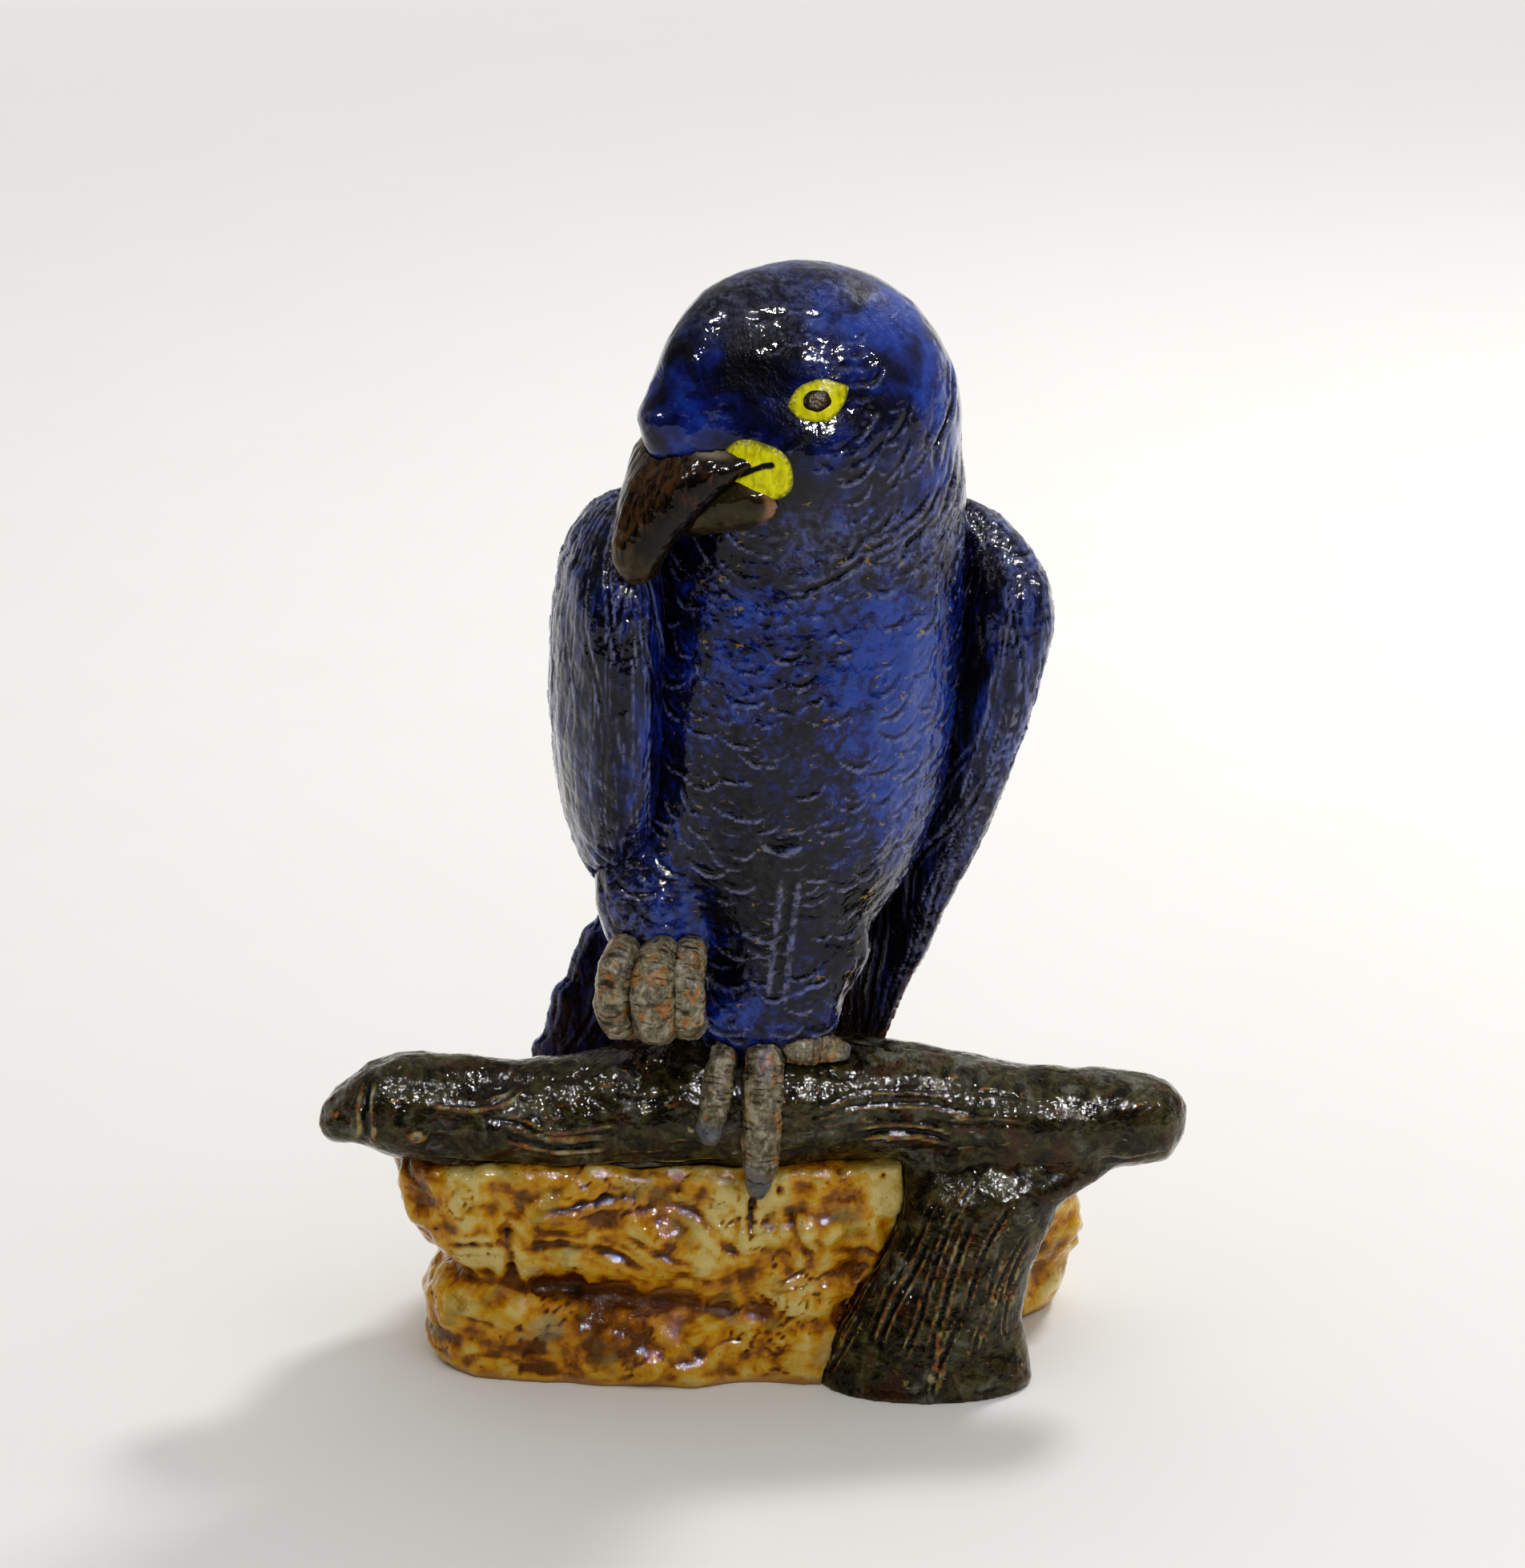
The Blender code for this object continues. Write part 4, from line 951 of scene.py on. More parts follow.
def make_tail():
    """A long furrowed slab with a stepped edge."""
    tail = Clay("tail_clay", ["tail"], voxel=0.80)
    tail.relax(30)
    edge = ease(6.0, 15.0, tail.centre_line()[:, 0] - tail.co[:, 0])
    steps = np.mod(tail.co[:, 2] + 2.0 * lumps(tail.co * (0.05, 0.05, 1.0), 14.0, 3), 15.0) / 15.0
    tail.co[:, 0] += edge * 0.9 * np.sin(2 * math.pi * steps + 0.8 * np.sin(2 * math.pi * steps))
    tail.push(0.35 * lumps(tail.co, 12.0, 21) + 0.2 * lumps(tail.co, 5.0, 22))
    side = (1.0, 0.1, 0.45)
    tail.furrows(side, count=12, depth=0.65, width=0.60, wander=0.8, seed=24)
    tail.furrows(side, count=26, depth=0.28, width=0.38, wander=1.4, cover=0.1, seed=25)
    # painted light: the raised tone and the pale over the whole slab lighten a tail that sits in shade; the
    # pale along the stepped edge is partly worn glaze and partly this painted light
    finish_wing(tail, "tail", tone=0.5, pale=0.65 * edge + 0.12)


UPPER_BEAK_LINE = ((17.5, 1.8), (22.3, 1.7), (27.8, 0), (32.7, -3.9), (37.4, -10.6), (41.2, -17.2),
                   (42.4, -22.4), (41.6, -26.6))
LOWER_BEAK_LINE = ((14.5, -7.6), (18, -7.8), (22, -7.9), (26, -9.2), (30.4, -11.4), (34, -14), (36.2, -15.6))


def beak_half(name, line):
    """The clay of one half, and how far along and how far below its (forward, up) line each point is."""
    beak = Clay(name + "_clay", [name], voxel=0.46)
    beak.relax(26)
    forward, _, up = in_head(beak.co)
    flat = np.stack([forward, np.zeros(len(forward)), up], 1)
    _, along, place = nearest_on(curve([(f, 0.0, u) for f, u in line]), flat)
    turns = ((0.9, 0.7, 0.0), (0, 0, 0), (-0.1, -0.7, -1.0))
    heading = np.array([np.interp(along, (0, 0.5, 1), v) for v in turns]).T
    inner = np.cross(unit(heading), (0.0, 1.0, 0.0))
    low = ((flat - place) * inner).sum(1) * np.sign(-inner[:, 2].mean() + 1e-9)
    return beak, along, low


def make_beak():
    """The upper half with its ridge, ruts and pale cere, and the taupe lower half."""
    upper, along, low = beak_half("upper_beak", UPPER_BEAK_LINE)
    _, left, _ = in_head(upper.co)
    upper.push(0.30 * lumps(upper.co, 9.0, 71) + 0.12 * lumps(upper.co, 3.0, 72))
    upper.push(0.35 * (bell(left / 2.6) * (low < 0)))
    ruts = np.sin(left * 1.9 + 2.5 * lumps(upper.co, 9.0, 73) + 6.0 * along)
    upper.push(-0.10 * np.maximum(ruts, 0) ** 4)
    forward, _, up = in_head(upper.co)
    side = bell((forward - 32.0) / 3.4) * ease(1.6, 3.0, up) * ease(8.0, 11.0, np.abs(left))
    front = 0.55 * bell((forward - 39.0) / 1.8) * ease(1.0, 2.6, up)
    upper.extra.update(along=along, low=low / 4.0, cere=np.clip(side + front, 0, 1))
    upper.fire(beak_glaze("upper_beak_glaze"), "beak_glaze")
    lower, along, low = beak_half("lower_beak", LOWER_BEAK_LINE)
    lower.push(0.30 * lumps(lower.co, 8.0, 75) + 0.12 * lumps(lower.co, 3.0, 76))
    forward, _, up = in_head(lower.co)
    edge = 24.0 + 1.6 * lumps(lower.co, 4.0, 77)
    tan = ease(edge, edge - 2.4, forward) * ease(-14.0, -10.0, up)
    lower.extra.update(along=along, low=low / 5.0, tan=tan)
    lower.fire(beak_glaze("lower_beak_glaze", True), "beak_glaze")


def pad(body, name, node, side, middle, outline, height, material, tilt=0.0, slit=None):
    """A thin pad of clay pressed on the head. Outline gives its edge at a turn, and height its rise."""
    tree = body.bvh()
    outward = HEAD_LEFT * side
    point, normal, _, _ = tree.ray_cast(Vector(at_head(middle[0], 60.0 * side, middle[1])), Vector(-outward))
    point, normal = np.array(point), unit(np.array(normal) + 1.2 * outward)
    ahead = unit(HEAD_FRONT - normal * (HEAD_FRONT @ normal))
    above = unit(UP - normal * normal[2])
    above = unit(above - ahead * (above @ ahead))
    rings, turns, clearance, tuck = 16, 72, 9.0, -0.9
    points, rims, slits = [], [], []
    for r in range(rings + 2):  # the last ring is the edge, tucked into the head
        share = min(r / rings, 1.0)
        for t in range(turns):
            x, y = outline(2 * math.pi * t / turns)
            x, y = x * share, y * share
            dx = x * math.cos(tilt) - y * math.sin(tilt)
            dy = x * math.sin(tilt) + y * math.cos(tilt)
            start = point + ahead * dx + above * dy + normal * clearance
            hit = tree.ray_cast(Vector(start), Vector(-normal))[0]
            base = np.array(hit) if hit is not None else start - normal * clearance
            groove = 0.0
            if slit is not None and r <= rings:
                distance, along, _ = nearest_on(slit, np.array([(x, y, 0.0)]))
                groove = float(bell(distance[0] / (0.50 + 0.35 * along[0])))
            points.append(base + normal * ((height(share) if r <= rings else tuck) - 0.75 * groove))
            rims.append(share)
            slits.append(groove)
    faces = []
    for r in range(rings + 1):
        for t in range(turns):
            a, b = r * turns + t, r * turns + (t + 1) % turns
            faces.append((a, a + turns, b + turns, b) if side > 0 else (a, b, b + turns, a + turns))
    co = np.array(points)
    co = co + normal * (0.10 * lumps(co, 2.2, 90) + 0.05 * lumps(co, 0.9, 91))[:, None]
    show(name, co, faces, {"rim": rims, "slit": slits}, material, [node])


def almond(turn):
    """Rounded towards the beak, drawn out to a point behind and above."""
    behind = max(0.0, -math.cos(turn))
    wobble = 1.0 + 0.03 * math.sin(3 * turn + 1.0) + 0.02 * math.sin(7 * turn)
    x = 6.1 * math.cos(turn) - 0.9 * behind ** 4
    y = 4.5 * math.sin(turn) * (1.0 - 0.42 * behind ** 2.2) + 0.35 * behind ** 3
    return x * wobble, y * wobble


def oval(across, up):
    """An uneven oval outline for a pad."""
    def outline(turn):
        wobble = 1.0 + 0.035 * math.sin(2 * turn + 0.6) + 0.025 * math.sin(5 * turn + 2.0)
        return across * math.cos(turn) * wobble, up * math.sin(turn) * wobble
    return outline


def domed(rise, edge):
    """The height of a domed pad from its middle to its edge."""
    return lambda share: rise * (1.0 - share ** edge) + 0.12


def make_face(body):
    """Gape skin, eye rings and pupils on both sides."""
    yellow, ring = yellow_glaze("gape_glaze"), yellow_glaze("eye_ring_glaze")
    brown = pupil_glaze("eye_pupil_glaze")
    slit = np.array([(4.6, -1.6, 0.0), (2.6, -0.4, 0.0), (0.6, 0.9, 0.0), (-1.4, 1.9, 0.0), (-3.0, 2.2, 0.0)])
    tilt = -math.radians(14)
    for label, side in (("left", 1), ("right", -1)):
        pad(body, "gape_" + label, "gape_skin_" + label, side, (23.9, -0.8), oval(7.7, 7.2), domed(1.5, 2.6),
            yellow, slit=slit)
        pad(body, "eye_" + label, "eye_ring_" + label, side, (11.4, 14.7), almond, domed(0.9, 2.6), ring,
            tilt)
        pad(body, "eye_pupil_" + label, "pupil_" + label, side, (11.8, 14.7), oval(3.0, 2.4),
            lambda share: 1.25 - 0.45 * share ** 4, brown, tilt)


def make_toes():
    """Four clawed toes over the branch, and three curled under the right thigh."""
    y = BRANCH_Y
    paths = {
        "standing_toe_front_outer": [(3, y - 5, 84), (2.7, y - 12, 80.5), (2.3, y - 16, 72), (2, y - 17, 63),
                                     (1.6, y - 16, 55.5), (1.2, y - 14.3, 50.5), (0.8, y - 13.3, 47)],
        "standing_toe_front_inner": [(-5, y - 7, 83), (-7, y - 12, 79), (-8.4, y - 15.4, 72.5),
                                     (-9.4, y - 16.2, 67), (-9.9, y - 16, 63.5), (-10, y - 15.8, 61.3)],
        "standing_toe_rear_outer": [(5.5, y - 7, 82.5), (10.5, y - 8.8, 81.5), (16, y - 9, 80.8),
                                    (24, y - 8, 78.8)],
        "standing_toe_rear_inner": [(1, y + 7, 82), (0, y + 12, 78.5), (-1, y + 15.5, 71),
                                    (-2, y + 14.5, 56.5)],
    }
    for label, x, spread, reach in (("middle", -19.5, -3.0, 2.2), ("outer", -27.0, -4.0, -0.5),
                                    ("inner", -13.9, -1.0, 0.3)):
        paths["curled_toe_" + label] = [
            (x, -17, 108), (x + 0.4 * spread, -25, 108.5), (x + 0.8 * spread, -31 - reach, 105.5),
            (x + spread, -32.5 - reach, 99), (x + 0.7 * spread, -29 - reach, 93.5),
            (x + 0.2 * spread, -23, 91)]
    glaze = foot_glaze()
    for number, (node, path) in enumerate(paths.items()):
        toe = Clay(node + "_clay", [node], voxel=0.42)
        toe.relax(22)
        toe.push(0.50 * lumps(toe.co, 6.0, 100 + number) + 0.28 * lumps(toe.co, 2.6, 110 + number))
        toe.rings(curve(path, 3), spacing=1.45, depth=0.20, seed=120 + number)
        toe.push(0.11 * lumps(toe.co, 1.3, 130 + number, 2))
        toe.extra["claw"] = np.full(len(toe.co), 1.0 if node.startswith("standing") else 0.25)
        toe.fire(glaze, "foot_glaze")


# ---------------------------------------------------------------- the base


BROKEN_FACETS = (((-0.72, -0.35, 0.60), (-93.5, -15.0, 67.5)), ((-0.45, -0.85, 0.18), (-90.0, -19.5, 62.0)),
                 ((-0.60, -0.30, -0.74), (-93.0, -14.0, 53.8)))  # direction, and a place on it
BRANCH_CUTS = (  # (x, z) points, width, depth, lip, lip above and below, how strongly glazed
    ([(-73.5, 70.6), (-70.0, 69.4), (-63.0, 68.6), (-56.5, 69.6), (-53.5, 71.6)], 0.9, 0.5, 1.1, (0.0, 1.0)),
    ([(-60.5, 66.0), (-52.5, 64.0), (-45.5, 61.3), (-38.5, 62.0), (-31.0, 63.4)], 0.75, 1.5, 0.9,
     (1.0, 0.45)),
    ([(-57.0, 62.5), (-48.0, 59.8), (-40.0, 59.6), (-33.0, 60.5)], 1.0, 0.8, 0.5),
    ([(11.5, 68.8), (18.6, 71.2), (25.0, 72.8), (33.0, 73.0), (41.7, 72.0), (48.0, 70.6)], 0.55, 0.55, 0.45,
     (0.3, 1.0), 0.8),
    ([(12.0, 67.0), (20.0, 69.2), (28.0, 70.2), (36.0, 70.0), (46.0, 68.4), (55.0, 65.8)], 0.55, 0.6, 0.5,
     (0.3, 1.0), 0.8),
    ([(24.0, 62.6), (31.0, 63.5), (38.8, 63.0), (45.0, 61.0)], 0.8, 1.5, 0.6),
    ([(-76.0, 55.5), (-60.0, 53.2), (-40.0, 53.0), (-18.0, 54.5)], 0.8, 0.7, 0.4, (1.0, 1.0), 0.6))
BRANCH_LINE = np.array([(-96.0, 60.5), (-82.0, 63.8), (-53.0, 61.6), (-16.0, 64.5), (5.0, 65.5), (28.0, 65.6),
                        (60.0, 62.5), (96.0, 60.0)])  # x and height of the branch's middle
STUMP_LINE = np.array([(2.0, 40.0, -21.0), (15.0, 42.0, -19.5), (27.0, 46.0, -18.0), (37.0, 50.3, -16.5),
                       (48.0, 56.0, -13.5), (56.0, 60.0, -11.0)])  # height, x and y of the stump's middle


def make_branch():
    """Branch and stump in one skin, as the glaze hides their seam."""
    wood = Clay("branch_clay", ["branch", "stump"], voxel=0.82,
                plugs=[vent_plug(low=51.5, high=79.5)])
    wood.relax(34)
    wood.fillet(rounds=30, share=0.9, repeats=5)
    wood.relax(5)
    above_floor = ease(0.0, 2.5, wood.co[:, 2])
    wood.push(above_floor * (0.85 * lumps(wood.co, 17.0, 31) + 0.5 * lumps(wood.co, 7.5, 32)))
    broken_end(wood)
    knot_and_cuts(wood)
    chance = np.random.default_rng(5)
    bark(wood, chance)
    stump_furrows(wood, chance)
    wood.push(ease(0.0, 2.0, wood.co[:, 2]) * 0.14 * lumps(wood.co, 2.6, 35, 2))
    wood.fire(branch_glaze(), "branch_glaze")


def broken_end(wood):
    """Facets where the left end was snapped off, and the knuckle behind them."""
    for normal, point in BROKEN_FACETS:
        normal = unit(np.array(normal))
        over = np.maximum((wood.co - point) @ normal, 0.0)
        near = ease(-82.0, -88.0, wood.co[:, 0])
        wood.co = wood.co - normal * (0.85 * over * near)[:, None]
    x, y, z = wood.co.T
    wood.push(0.9 * (bell((x + 84.0) / 5.0) * ease(-8.0, -14.0, y) * ease(54.0, 62.0, z)))
    wood.cuts([([(-87.5, 73.0), (-88.5, 68.0), (-88.0, 62.5), (-89.5, 58.0)], 1.0, 0.8, 0.3)])


def knot_and_cuts(wood):
    """The scooped knot hole, the cuts along the front, and the small lump of clay left of the long crack."""
    knot = wood.trace([(-61.5, 72.3)])[0]
    scoop = bell(np.linalg.norm((wood.co - knot) / (10.0, 9.0, 3.6), axis=1))
    wood.push(-2.3 * scoop)
    wood.mark(0.75 * scoop)
    wood.cuts(BRANCH_CUTS)
    lump = wood.trace([(-76.3, 61.6)])[0]
    rise = np.exp(-(np.linalg.norm((wood.co - lump) / (2.2, 2.0, 1.3), axis=1) ** 4))
    wood.push(0.9 * rise)
    wood.mark(lip=1.3 * rise)


def bark(wood, chance):
    """Long shallow cuts that follow the branch, on all sides of it."""
    for k in range(96):
        start = chance.uniform(-92.0, 82.0)
        length = chance.uniform(6.0, 26.0)
        turn = chance.uniform(0, 2 * math.pi)
        wave = chance.uniform(-0.10, 0.10)
        places, ways = [], []
        for t in np.linspace(0, 1, 7):
            x = min(start + t * length, 95.0)
            angle = turn + wave * math.sin(3.0 * t) + 0.03 * math.sin(7 * t + k)
            places.append((x, BRANCH_Y, np.interp(x, *BRANCH_LINE.T)))
            ways.append((0.0, math.cos(angle), math.sin(angle)))
        path = wood.wrap(places, ways)
        if len(path) > 2:
            force = chance.uniform(0.15, 1.0) ** 1.5
            width = chance.uniform(0.35, 0.65)
            wood.stroke(path, width, 0.55 * force, 0.30 * force, (1.0, 0.4), 0.2 + 0.7 * force)


def stump_furrows(wood, chance):
    """Upright grooves that fan out down the stump, with proud rusty edges, and the knob at its foot."""
    count = 30
    for k in range(count):
        turn = 2 * math.pi * (k + chance.uniform(-0.4, 0.4)) / count
        low = chance.uniform(1.0, 22.0)
        high = low + chance.uniform(16.0, 40.0)
        drift = chance.uniform(-0.12, 0.12)
        places, ways = [], []
        for t in np.linspace(0, 1, 7):
            level = min(low + t * (high - low), 56.0)
            angle = turn + drift * math.sin(4 * t + k)
            places.append((*(np.interp(level, STUMP_LINE[:, 0], STUMP_LINE[:, i]) for i in (1, 2)), level))
            ways.append((math.sin(angle), -math.cos(angle), 0.0))
        path = wood.wrap(places, ways)
        if len(path) > 2:
            force = chance.uniform(0.4, 1.0)
            width = chance.uniform(0.45, 0.75)
            wood.stroke(path, width, 0.8 * force, 0.6 * force, glazed=0.5 + 0.5 * force)
    for knob in wood.trace([(64.5, 13.0)]):
        wood.push(1.8 * bell(np.linalg.norm((wood.co - knob) / (3.5, 4.0, 3.5), axis=1)))


ROCK_TONES_AND_SHADE = (  # where the glaze is thinner or thicker, and painted shade in the darker patches under the branch's left end and under the ledge: strength, x, z, half width, half height
    (1.2, -67, 46, 5, 9), (0.9, -20, 43, 9, 5), (0.9, -7, 45, 6, 8), (1.1, 4, 42, 5, 12),
    (1.3, -63, 30, 7, 4), (0.9, 8, 16, 8, 8), (0.7, -40, 30, 7, 4), (0.6, -24, 24, 8, 5),
    (0.9, 31, 44, 6, 10), (0.5, 22, 28, 16, 16), (-1.4, -79, 51, 6, 6), (-1.6, -81, 20, 6, 8),
    (-1.3, -38, 21, 10, 3.5), (-0.9, -36, 41, 12, 3), (-1.0, 20, 45, 7, 10), (-0.9, -34, 12, 30, 8),
    (-0.5, -45, 45, 16, 8))
# near-black painted shade under the branch's left end and in the recesses under the ledge: strength, x, z,
# half width, half height
ROCK_PAINTED_SHADE = ((1.0, -80, 51, 5, 5), (1.0, -83, 21, 4, 6), (1.0, -38, 21, 9, 2.5))
ROCK_CUTS = (  # as for the branch
    ([(-56.5, 40.5), (-57.0, 36.0), (-56.0, 30.0), (-55.5, 24.0)], 1.5, 1.6, 0.6),
    ([(-70.0, 32.5), (-63.0, 33.5), (-57.0, 34.0)], 1.2, 1.3, 0.8),
    ([(-50.0, 43.6), (-43.0, 44.2), (-34.0, 45.6), (-25.0, 47.2)], 1.1, 1.5, 0.9, (0.3, 1.0)),
    ([(0.0, 47.0), (-0.5, 41.0), (-0.8, 35.5)], 1.0, 1.4, 0.8),
    ([(-52.0, 33.0), (-40.0, 34.0), (-30.0, 31.0), (-24.0, 27.5)], 1.1, 0.8, 0.5, (1.0, 1.0), 0.4),
    ([(-20.0, 45.0), (-12.0, 41.0), (-6.0, 34.0), (-2.0, 31.0)], 1.2, 0.7, 0.5, (1.0, 1.0), 0.25),
    ([(-30.0, 38.0), (-22.0, 33.0), (-14.0, 30.5)], 1.0, 0.7, 0.5, (1.0, 1.0), 0.35),
    ([(8.0, 44.0), (10.0, 36.0), (14.0, 30.0)], 1.3, 0.9, 0.5, (1.0, 1.0), 0.3))
ROCK_HOLE = ((-56.5, 36.5), 2.1, 3.4, 1.1)  # (x, z), radius, depth, how strongly glazed
ROCK_DENTS = (((6.0, 48.0), 1.2, 1.4), ((-44.0, 8.0), 2.6, 0.8, 0.3), ((-12.5, 8.5), 2.3, 1.8, 0.8))


def make_rock():
    """The hollow foot, with its underside open."""
    rock = Clay("rock_clay", ["rock_base"], voxel=0.92, whole=True)
    rock.relax(26)
    x, y, z = rock.co.T
    ring = np.hypot((x - ROCK_X) / ROCK_LONG, (y - ROCK_Y) / ROCK_DEEP)  # 1 on the outside of the plan
    outside = ease(-7.0, -3.5, ring * 30.0 - 30.0)
    firm = ease(0.0, 3.0, z) * (0.25 + 0.75 * outside)
    rock.push(firm * (1.8 * lumps(rock.co, 21.0, 51) + 1.7 * lumps(rock.co, 10.0, 52)
                      + 1.0 * lumps(rock.co, 5.0, 53)))
    ridged = 1.0 - np.abs(lumps(rock.co * (0.7, 0.7, 1.3), 17.0, 54))
    rock.push(firm * -0.9 * ease(0.80, 1.0, ridged) * ease(-0.1, 0.4, lumps(rock.co, 20.0, 55)))
    rock_features(rock)
    wavy_foot(rock, outside)
    crease_rock(rock, firm)
    glaze_rock(rock)
    rock.fire(rock_glaze(), "rock_glaze")


def rock_features(rock):
    """The overhanging ledge, the hole and notch beside it, and the gouges on the front face."""
    x, y, z = rock.co.T
    ledge = z - np.interp(x, (-75, -55, -40, -20, 0, 20), (24.0, 23.0, 22.5, 19.5, 17.0, 14.0))
    reach = ease(2.0, -8.0, y) * np.interp(x, (-70, -55, -20, 8, 25), (0.7, 1.0, 0.9, 0.5, 0.0))
    rock.push(reach * (-2.6 * bell(ledge / 2.6) + 1.6 * bell((ledge - 6.5) / 4.0)
                       + 1.5 * bell((ledge + 8.0) / 5.0)))
    rock.extra["dull"] = np.clip(1.2 * reach * bell((ledge + 3.0) / 4.0), 0, 1)
    patchy = ease(0.0, 0.5, lumps(rock.co, 16.0, 61) + 0.3)
    # painted shade: a dark line along the crease under the overhanging ledge, in the pool layer
    rock.mark(0.16 * reach * bell(ledge / 2.2) * patchy)
    rock.dents([ROCK_HOLE])
    rock.cuts(ROCK_CUTS)
    rock.dents(ROCK_DENTS)
    chance = np.random.default_rng(77)
    spots = (ease(0, 1, rock.co[:, 2] - 5.0) > 0.5).nonzero()[0]
    for index in chance.choice(spots, 60, replace=False):
        rock.dent(rock.co[index], chance.uniform(0.4, 0.9), chance.uniform(0.3, 0.8))


def wavy_foot(rock, outside):
    """Lets the lower edge wander in and out."""
    x, y, z = rock.co.T
    outward = unit(np.stack([(x - ROCK_X) / ROCK_LONG ** 2, (y - ROCK_Y) / ROCK_DEEP ** 2, 0 * x], 1))
    wave = 1.9 * lumps(rock.co * (1, 1, 0.4), 15.0, 63) * ease(16.0, 5.0, z) * outside
    rock.co = rock.co + outward * wave[:, None]


def crease_rock(rock, firm):
    """Fine branching creases, closer together on the rough patch beside the stump."""
    x, y, z = rock.co.T
    rough = bell((x - 9) / 17, (z - 14) / 10) * (y < 0)
    creases = 1.0 - np.abs(lumps(rock.co + 1.5 * lumps(rock.co, 6.0, 62)[:, None], 5.0, 57))
    crease = ease(0.86, 1.0, creases) * ease(0.1, 0.5, lumps(rock.co, 13.0, 59) + 0.9 * rough) * firm
    rock.push(-0.6 * crease)
    rock.mark((0.25 + 0.35 * rough) * crease)
    rock.push(ease(0.0, 1.5, z) * 0.22 * lumps(rock.co, 2.4, 56, 2))


def glaze_rock(rock):
    """Where the glaze is thick, near-black painted shade in the recesses, and the bare clay of the foot and
    the hollow.
    """
    x, y, z = rock.co.T
    front = ease(4.0, -4.0, y)
    rock.extra["tone"] = patches(rock.co, front, ROCK_TONES_AND_SHADE) + 0.10 * (1 - front)
    # painted shade in the recesses, carried in the pool layer
    rock.mark(0.8 * np.clip(patches(rock.co, front, ROCK_PAINTED_SHADE), 0, 1))
    rim = ease(2.0, 0.5, z + 0.9 * lumps(rock.co, 6.0, 58)) * 0.9
    turned = rock.normals()
    ring = np.hypot((x - ROCK_X) / ROCK_LONG, (y - ROCK_Y) / ROCK_DEEP)
    inward = -(turned[:, 0] * (x - ROCK_X) / ROCK_LONG + turned[:, 1] * (y - ROCK_Y) / ROCK_DEEP)
    facing = np.maximum(ease(0.15, 0.45, inward / np.maximum(ring, 0.05)), ease(-0.3, -0.7, turned[:, 2]))
    rock.extra["foot"] = np.clip(rim + ease(0.90, 0.84, ring) * facing, 0, 1)


# ---------------------------------------------------------------- the room


CAMERA_AIM = Vector((0.00225, -0.00071, 0.1377))  # metres, as everything in the room
CAMERA_AWAY, CAMERA_RISE = 1.1, math.radians(20.0)
LENS, SENSOR = 111.0, 36.0  # millimetres
ROOM_COLOUR, LAMP_COLOUR = (1.0, 0.985, 0.96), (1.0, 0.99, 0.97)
ROOM_SEEN = 0.90  # how bright the room is where a camera sees it
ROOM_DARKEST, ROOM_BRIGHTEST = 0.08, 0.95  # how bright it is as a light, from the viewer's side to behind
ROOM_MIRRORED = 0.44  # how much of that light the glaze mirrors
BEHIND = (0.30, 0.42, 0.80)  # towards the room's brightest side
LAMP_AIM = Vector((0.0, 0.0, 0.13))
KEY_LAMP = (0.64, 0.80, 1.10, 0.24, 11.2)  # x, y, z, size and watts
GLINT_LAMPS = (
    (0.64, 0.80, 1.10, 0.22, 7.0), (0.25, -0.60, 1.25, 0.06, 9.0), (-0.50, -0.35, 1.30, 0.05, 5.0),
    (0.14, -1.05, 0.88, 0.05, 9.0), (0.85, -0.50, 0.95, 0.04, 3.0), (-0.80, -0.75, 0.85, 0.04, 2.0))
FILM_CURVE = ((0.014, 0.005), (0.04, 0.025), (0.12, 0.108), (0.42, 0.45))  # deeper shadows
SHEET_REACH = 8.0


def paper():
    """Pale card that fades into the pale room far from the object, so that no edge or horizon shows."""
    g = Glaze("pale_paper")
    mottle = g.noise(60.0, 3.0).mix((0.755, 0.747, 0.730), (0.780, 0.774, 0.760))
    # painted light: the card is paler towards the viewer, lightening the floor in front of the figurine
    nearer_painted_light = g.place.node("SeparateXYZ", "Y", {"Vector": g.place}).band(-0.05, -0.34)
    connect(g.shader.inputs["Base Color"], nearer_painted_light.mix(mottle, (0.89, 0.88, 0.862)))
    connect(g.shader.inputs["Roughness"], 0.75)
    connect(g.shader.inputs["Normal"], g.bump(g.noise(3.0, 2.0), 0.1, 0.2))
    far = g.place.node("VectorMath", "Value", {0: g.place}, operation="LENGTH").band(0.6, 2.8)
    glow = far.node("Emission", "Emission", {"Color": ROOM_COLOUR, "Strength": ROOM_SEEN})
    faded = far.node("MixShader", "Shader", {"Fac": far, 1: Signal(g.shader.outputs["BSDF"]), 2: glow})
    connect(g.tree.nodes["Material Output"].inputs["Surface"], faded)
    return g.material


def make_room():
    """A pale sheet that lies flat and reaches far on all sides."""
    corners = [(x * SHEET_REACH, y * SHEET_REACH, 0.0) for x, y in ((-1, -1), (1, -1), (1, 1), (-1, 1))]
    mesh = bpy.data.meshes.new("sheet")
    mesh.from_pydata(corners, [], [(0, 1, 2, 3)])
    mesh.materials.append(paper())
    add_object("sheet", mesh)


def lamp(name, x, y, z, size, watts):
    """A square lamp that looks at the figurine, itself unseen."""
    light = bpy.data.lights.new(name, "AREA")
    light.shape = "RECTANGLE"
    light.size = light.size_y = size
    light.energy = watts
    light.color = LAMP_COLOUR
    obj = add_object(name, light)
    obj.location = (x, y, z)
    obj.visible_camera = False
    obj.rotation_mode = "QUATERNION"
    obj.rotation_quaternion = (LAMP_AIM - Vector((x, y, z))).to_track_quat("-Z", "Y")
    return obj


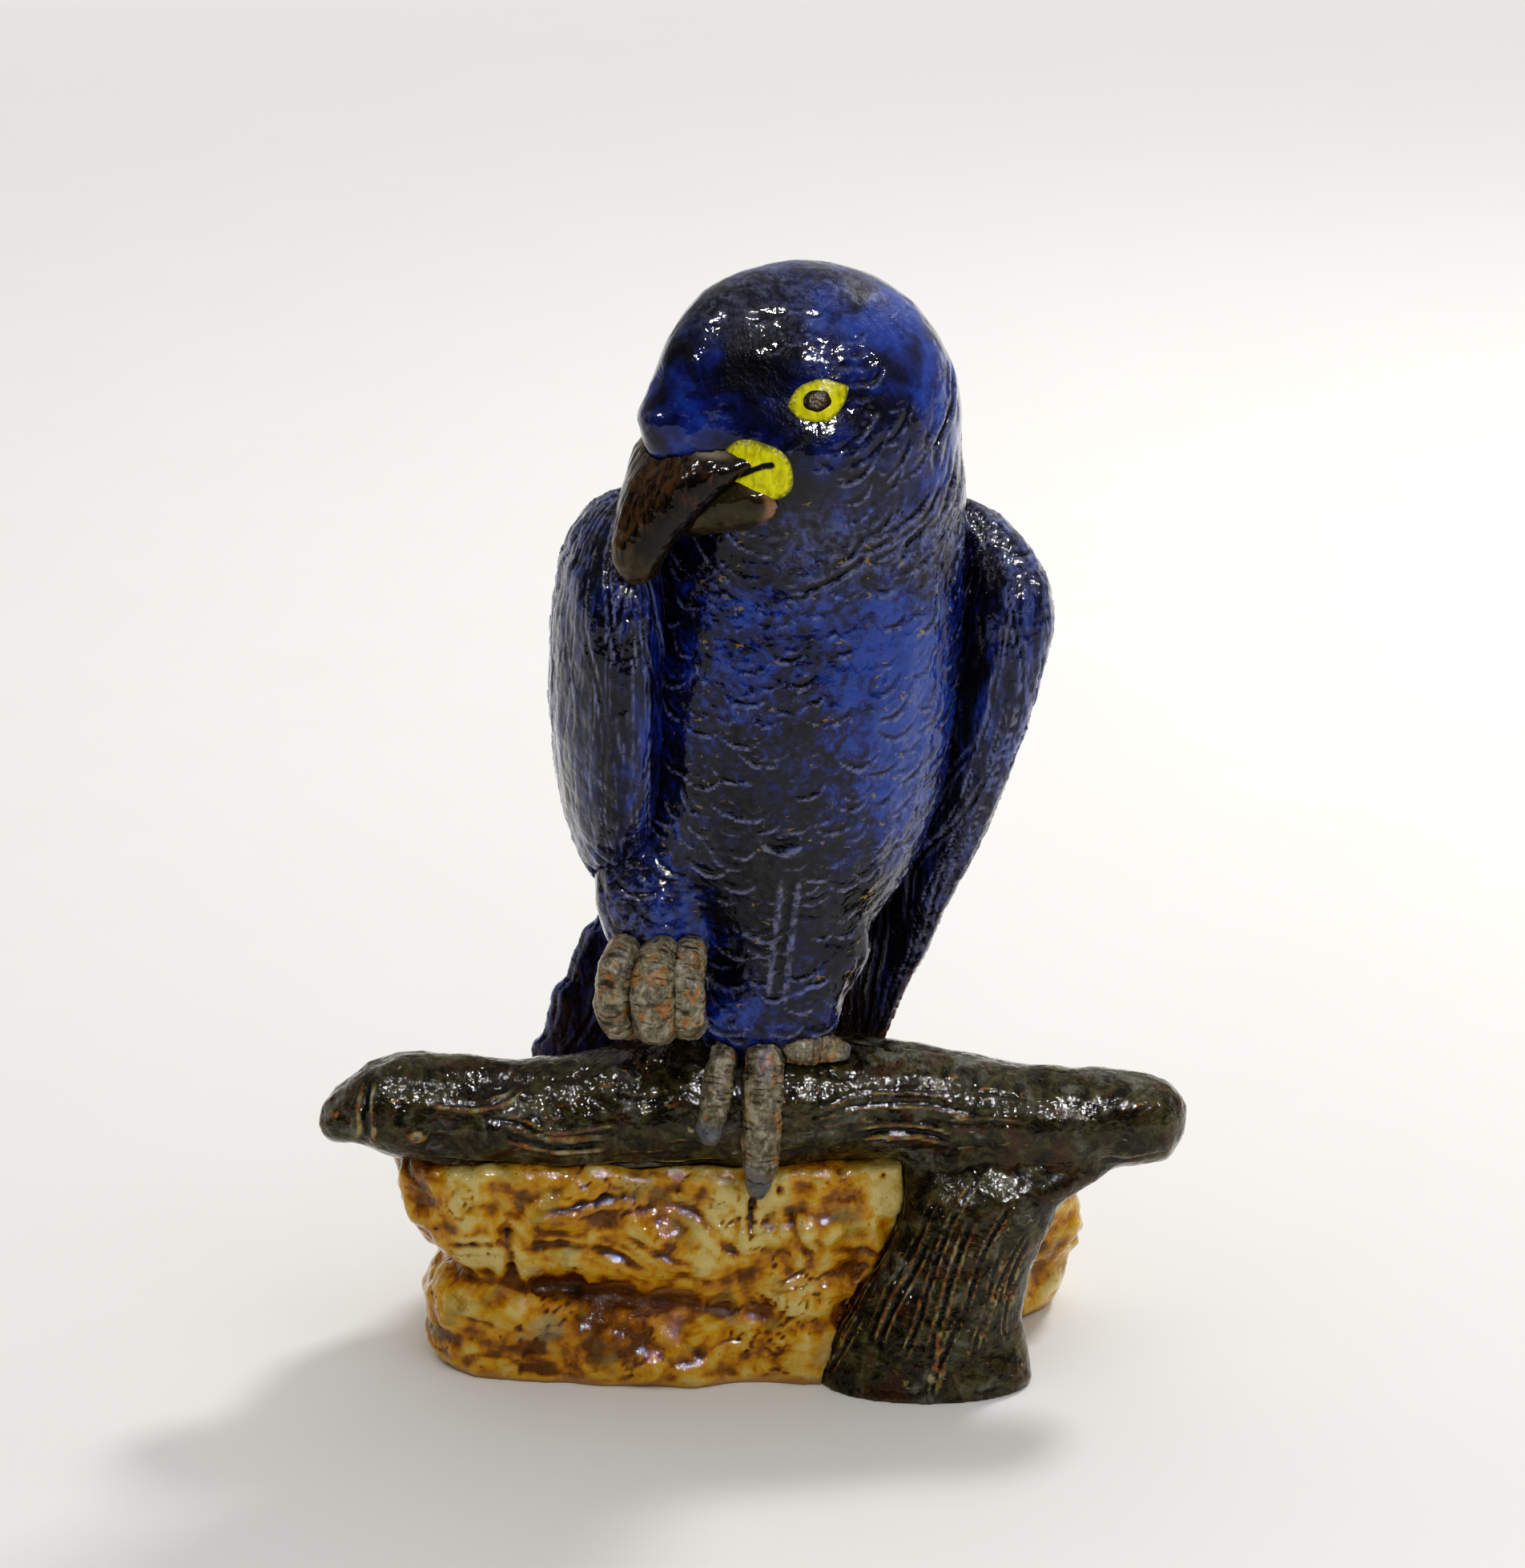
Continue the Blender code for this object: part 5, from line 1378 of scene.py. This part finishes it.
def make_light():
    """A pale room, dimmer on the viewer's side, a key lamp behind on the right, and small glint lamps."""
    world = bpy.data.worlds.new("room")
    bpy.context.scene.world = world
    world.use_nodes = True
    tree = world.node_tree
    way = add_node(tree, "TexCoord", "Generated", {})
    behind = way.node("VectorMath", "Value", {0: way, 1: BEHIND}, operation="DOT_PRODUCT")
    lit = way.node("MapRange", "Result", {
        "Value": behind, "From Min": -0.45, "From Max": 0.75,
        "To Min": ROOM_DARKEST, "To Max": ROOM_BRIGHTEST})
    # The glaze mirrors a dimmer room than the one that lights it, and a camera sees it plain and pale.
    mirrored = add_node(tree, "LightPath", "Is Glossy Ray", {})
    dim = way.node("MapRange", "Result", {"Value": mirrored, "To Min": 1.0, "To Max": ROOM_MIRRORED})
    viewed = add_node(tree, "LightPath", "Is Camera Ray", {})
    strength = way.node("Mix", "Result", {"Factor": viewed, "A": lit * dim, "B": ROOM_SEEN})
    background = tree.nodes["Background"]
    connect(background.inputs["Color"], ROOM_COLOUR)
    connect(background.inputs["Strength"], strength)
    lamp("key", *KEY_LAMP).visible_glossy = False
    for number, values in enumerate(GLINT_LAMPS):
        lamp("glint_%d" % number, *values).visible_diffuse = False
    view = bpy.context.scene.view_settings
    view.view_transform = "Standard"
    view.use_curve_mapping = True
    for at, to in FILM_CURVE:
        view.curve_mapping.curves[3].points.new(at, to)
    view.curve_mapping.update()


def make_camera():
    """A long lens, above the level, square on to the branch."""
    lens = bpy.data.cameras.new("camera")
    lens.lens, lens.sensor_width = LENS, SENSOR
    lens.clip_start, lens.clip_end = 0.01, 20.0
    camera = add_object("camera", lens)
    back = Vector((0.0, -math.cos(CAMERA_RISE), math.sin(CAMERA_RISE)))
    camera.location = CAMERA_AIM + back * CAMERA_AWAY
    camera.rotation_mode = "QUATERNION"
    camera.rotation_quaternion = (-back).to_track_quat("-Z", "Y")
    bpy.context.scene.camera = camera


bird = make_body()
make_face(bird)
make_wings()
make_tail()
make_beak()
make_toes()
make_branch()
make_rock()
make_room()
make_light()
make_camera()
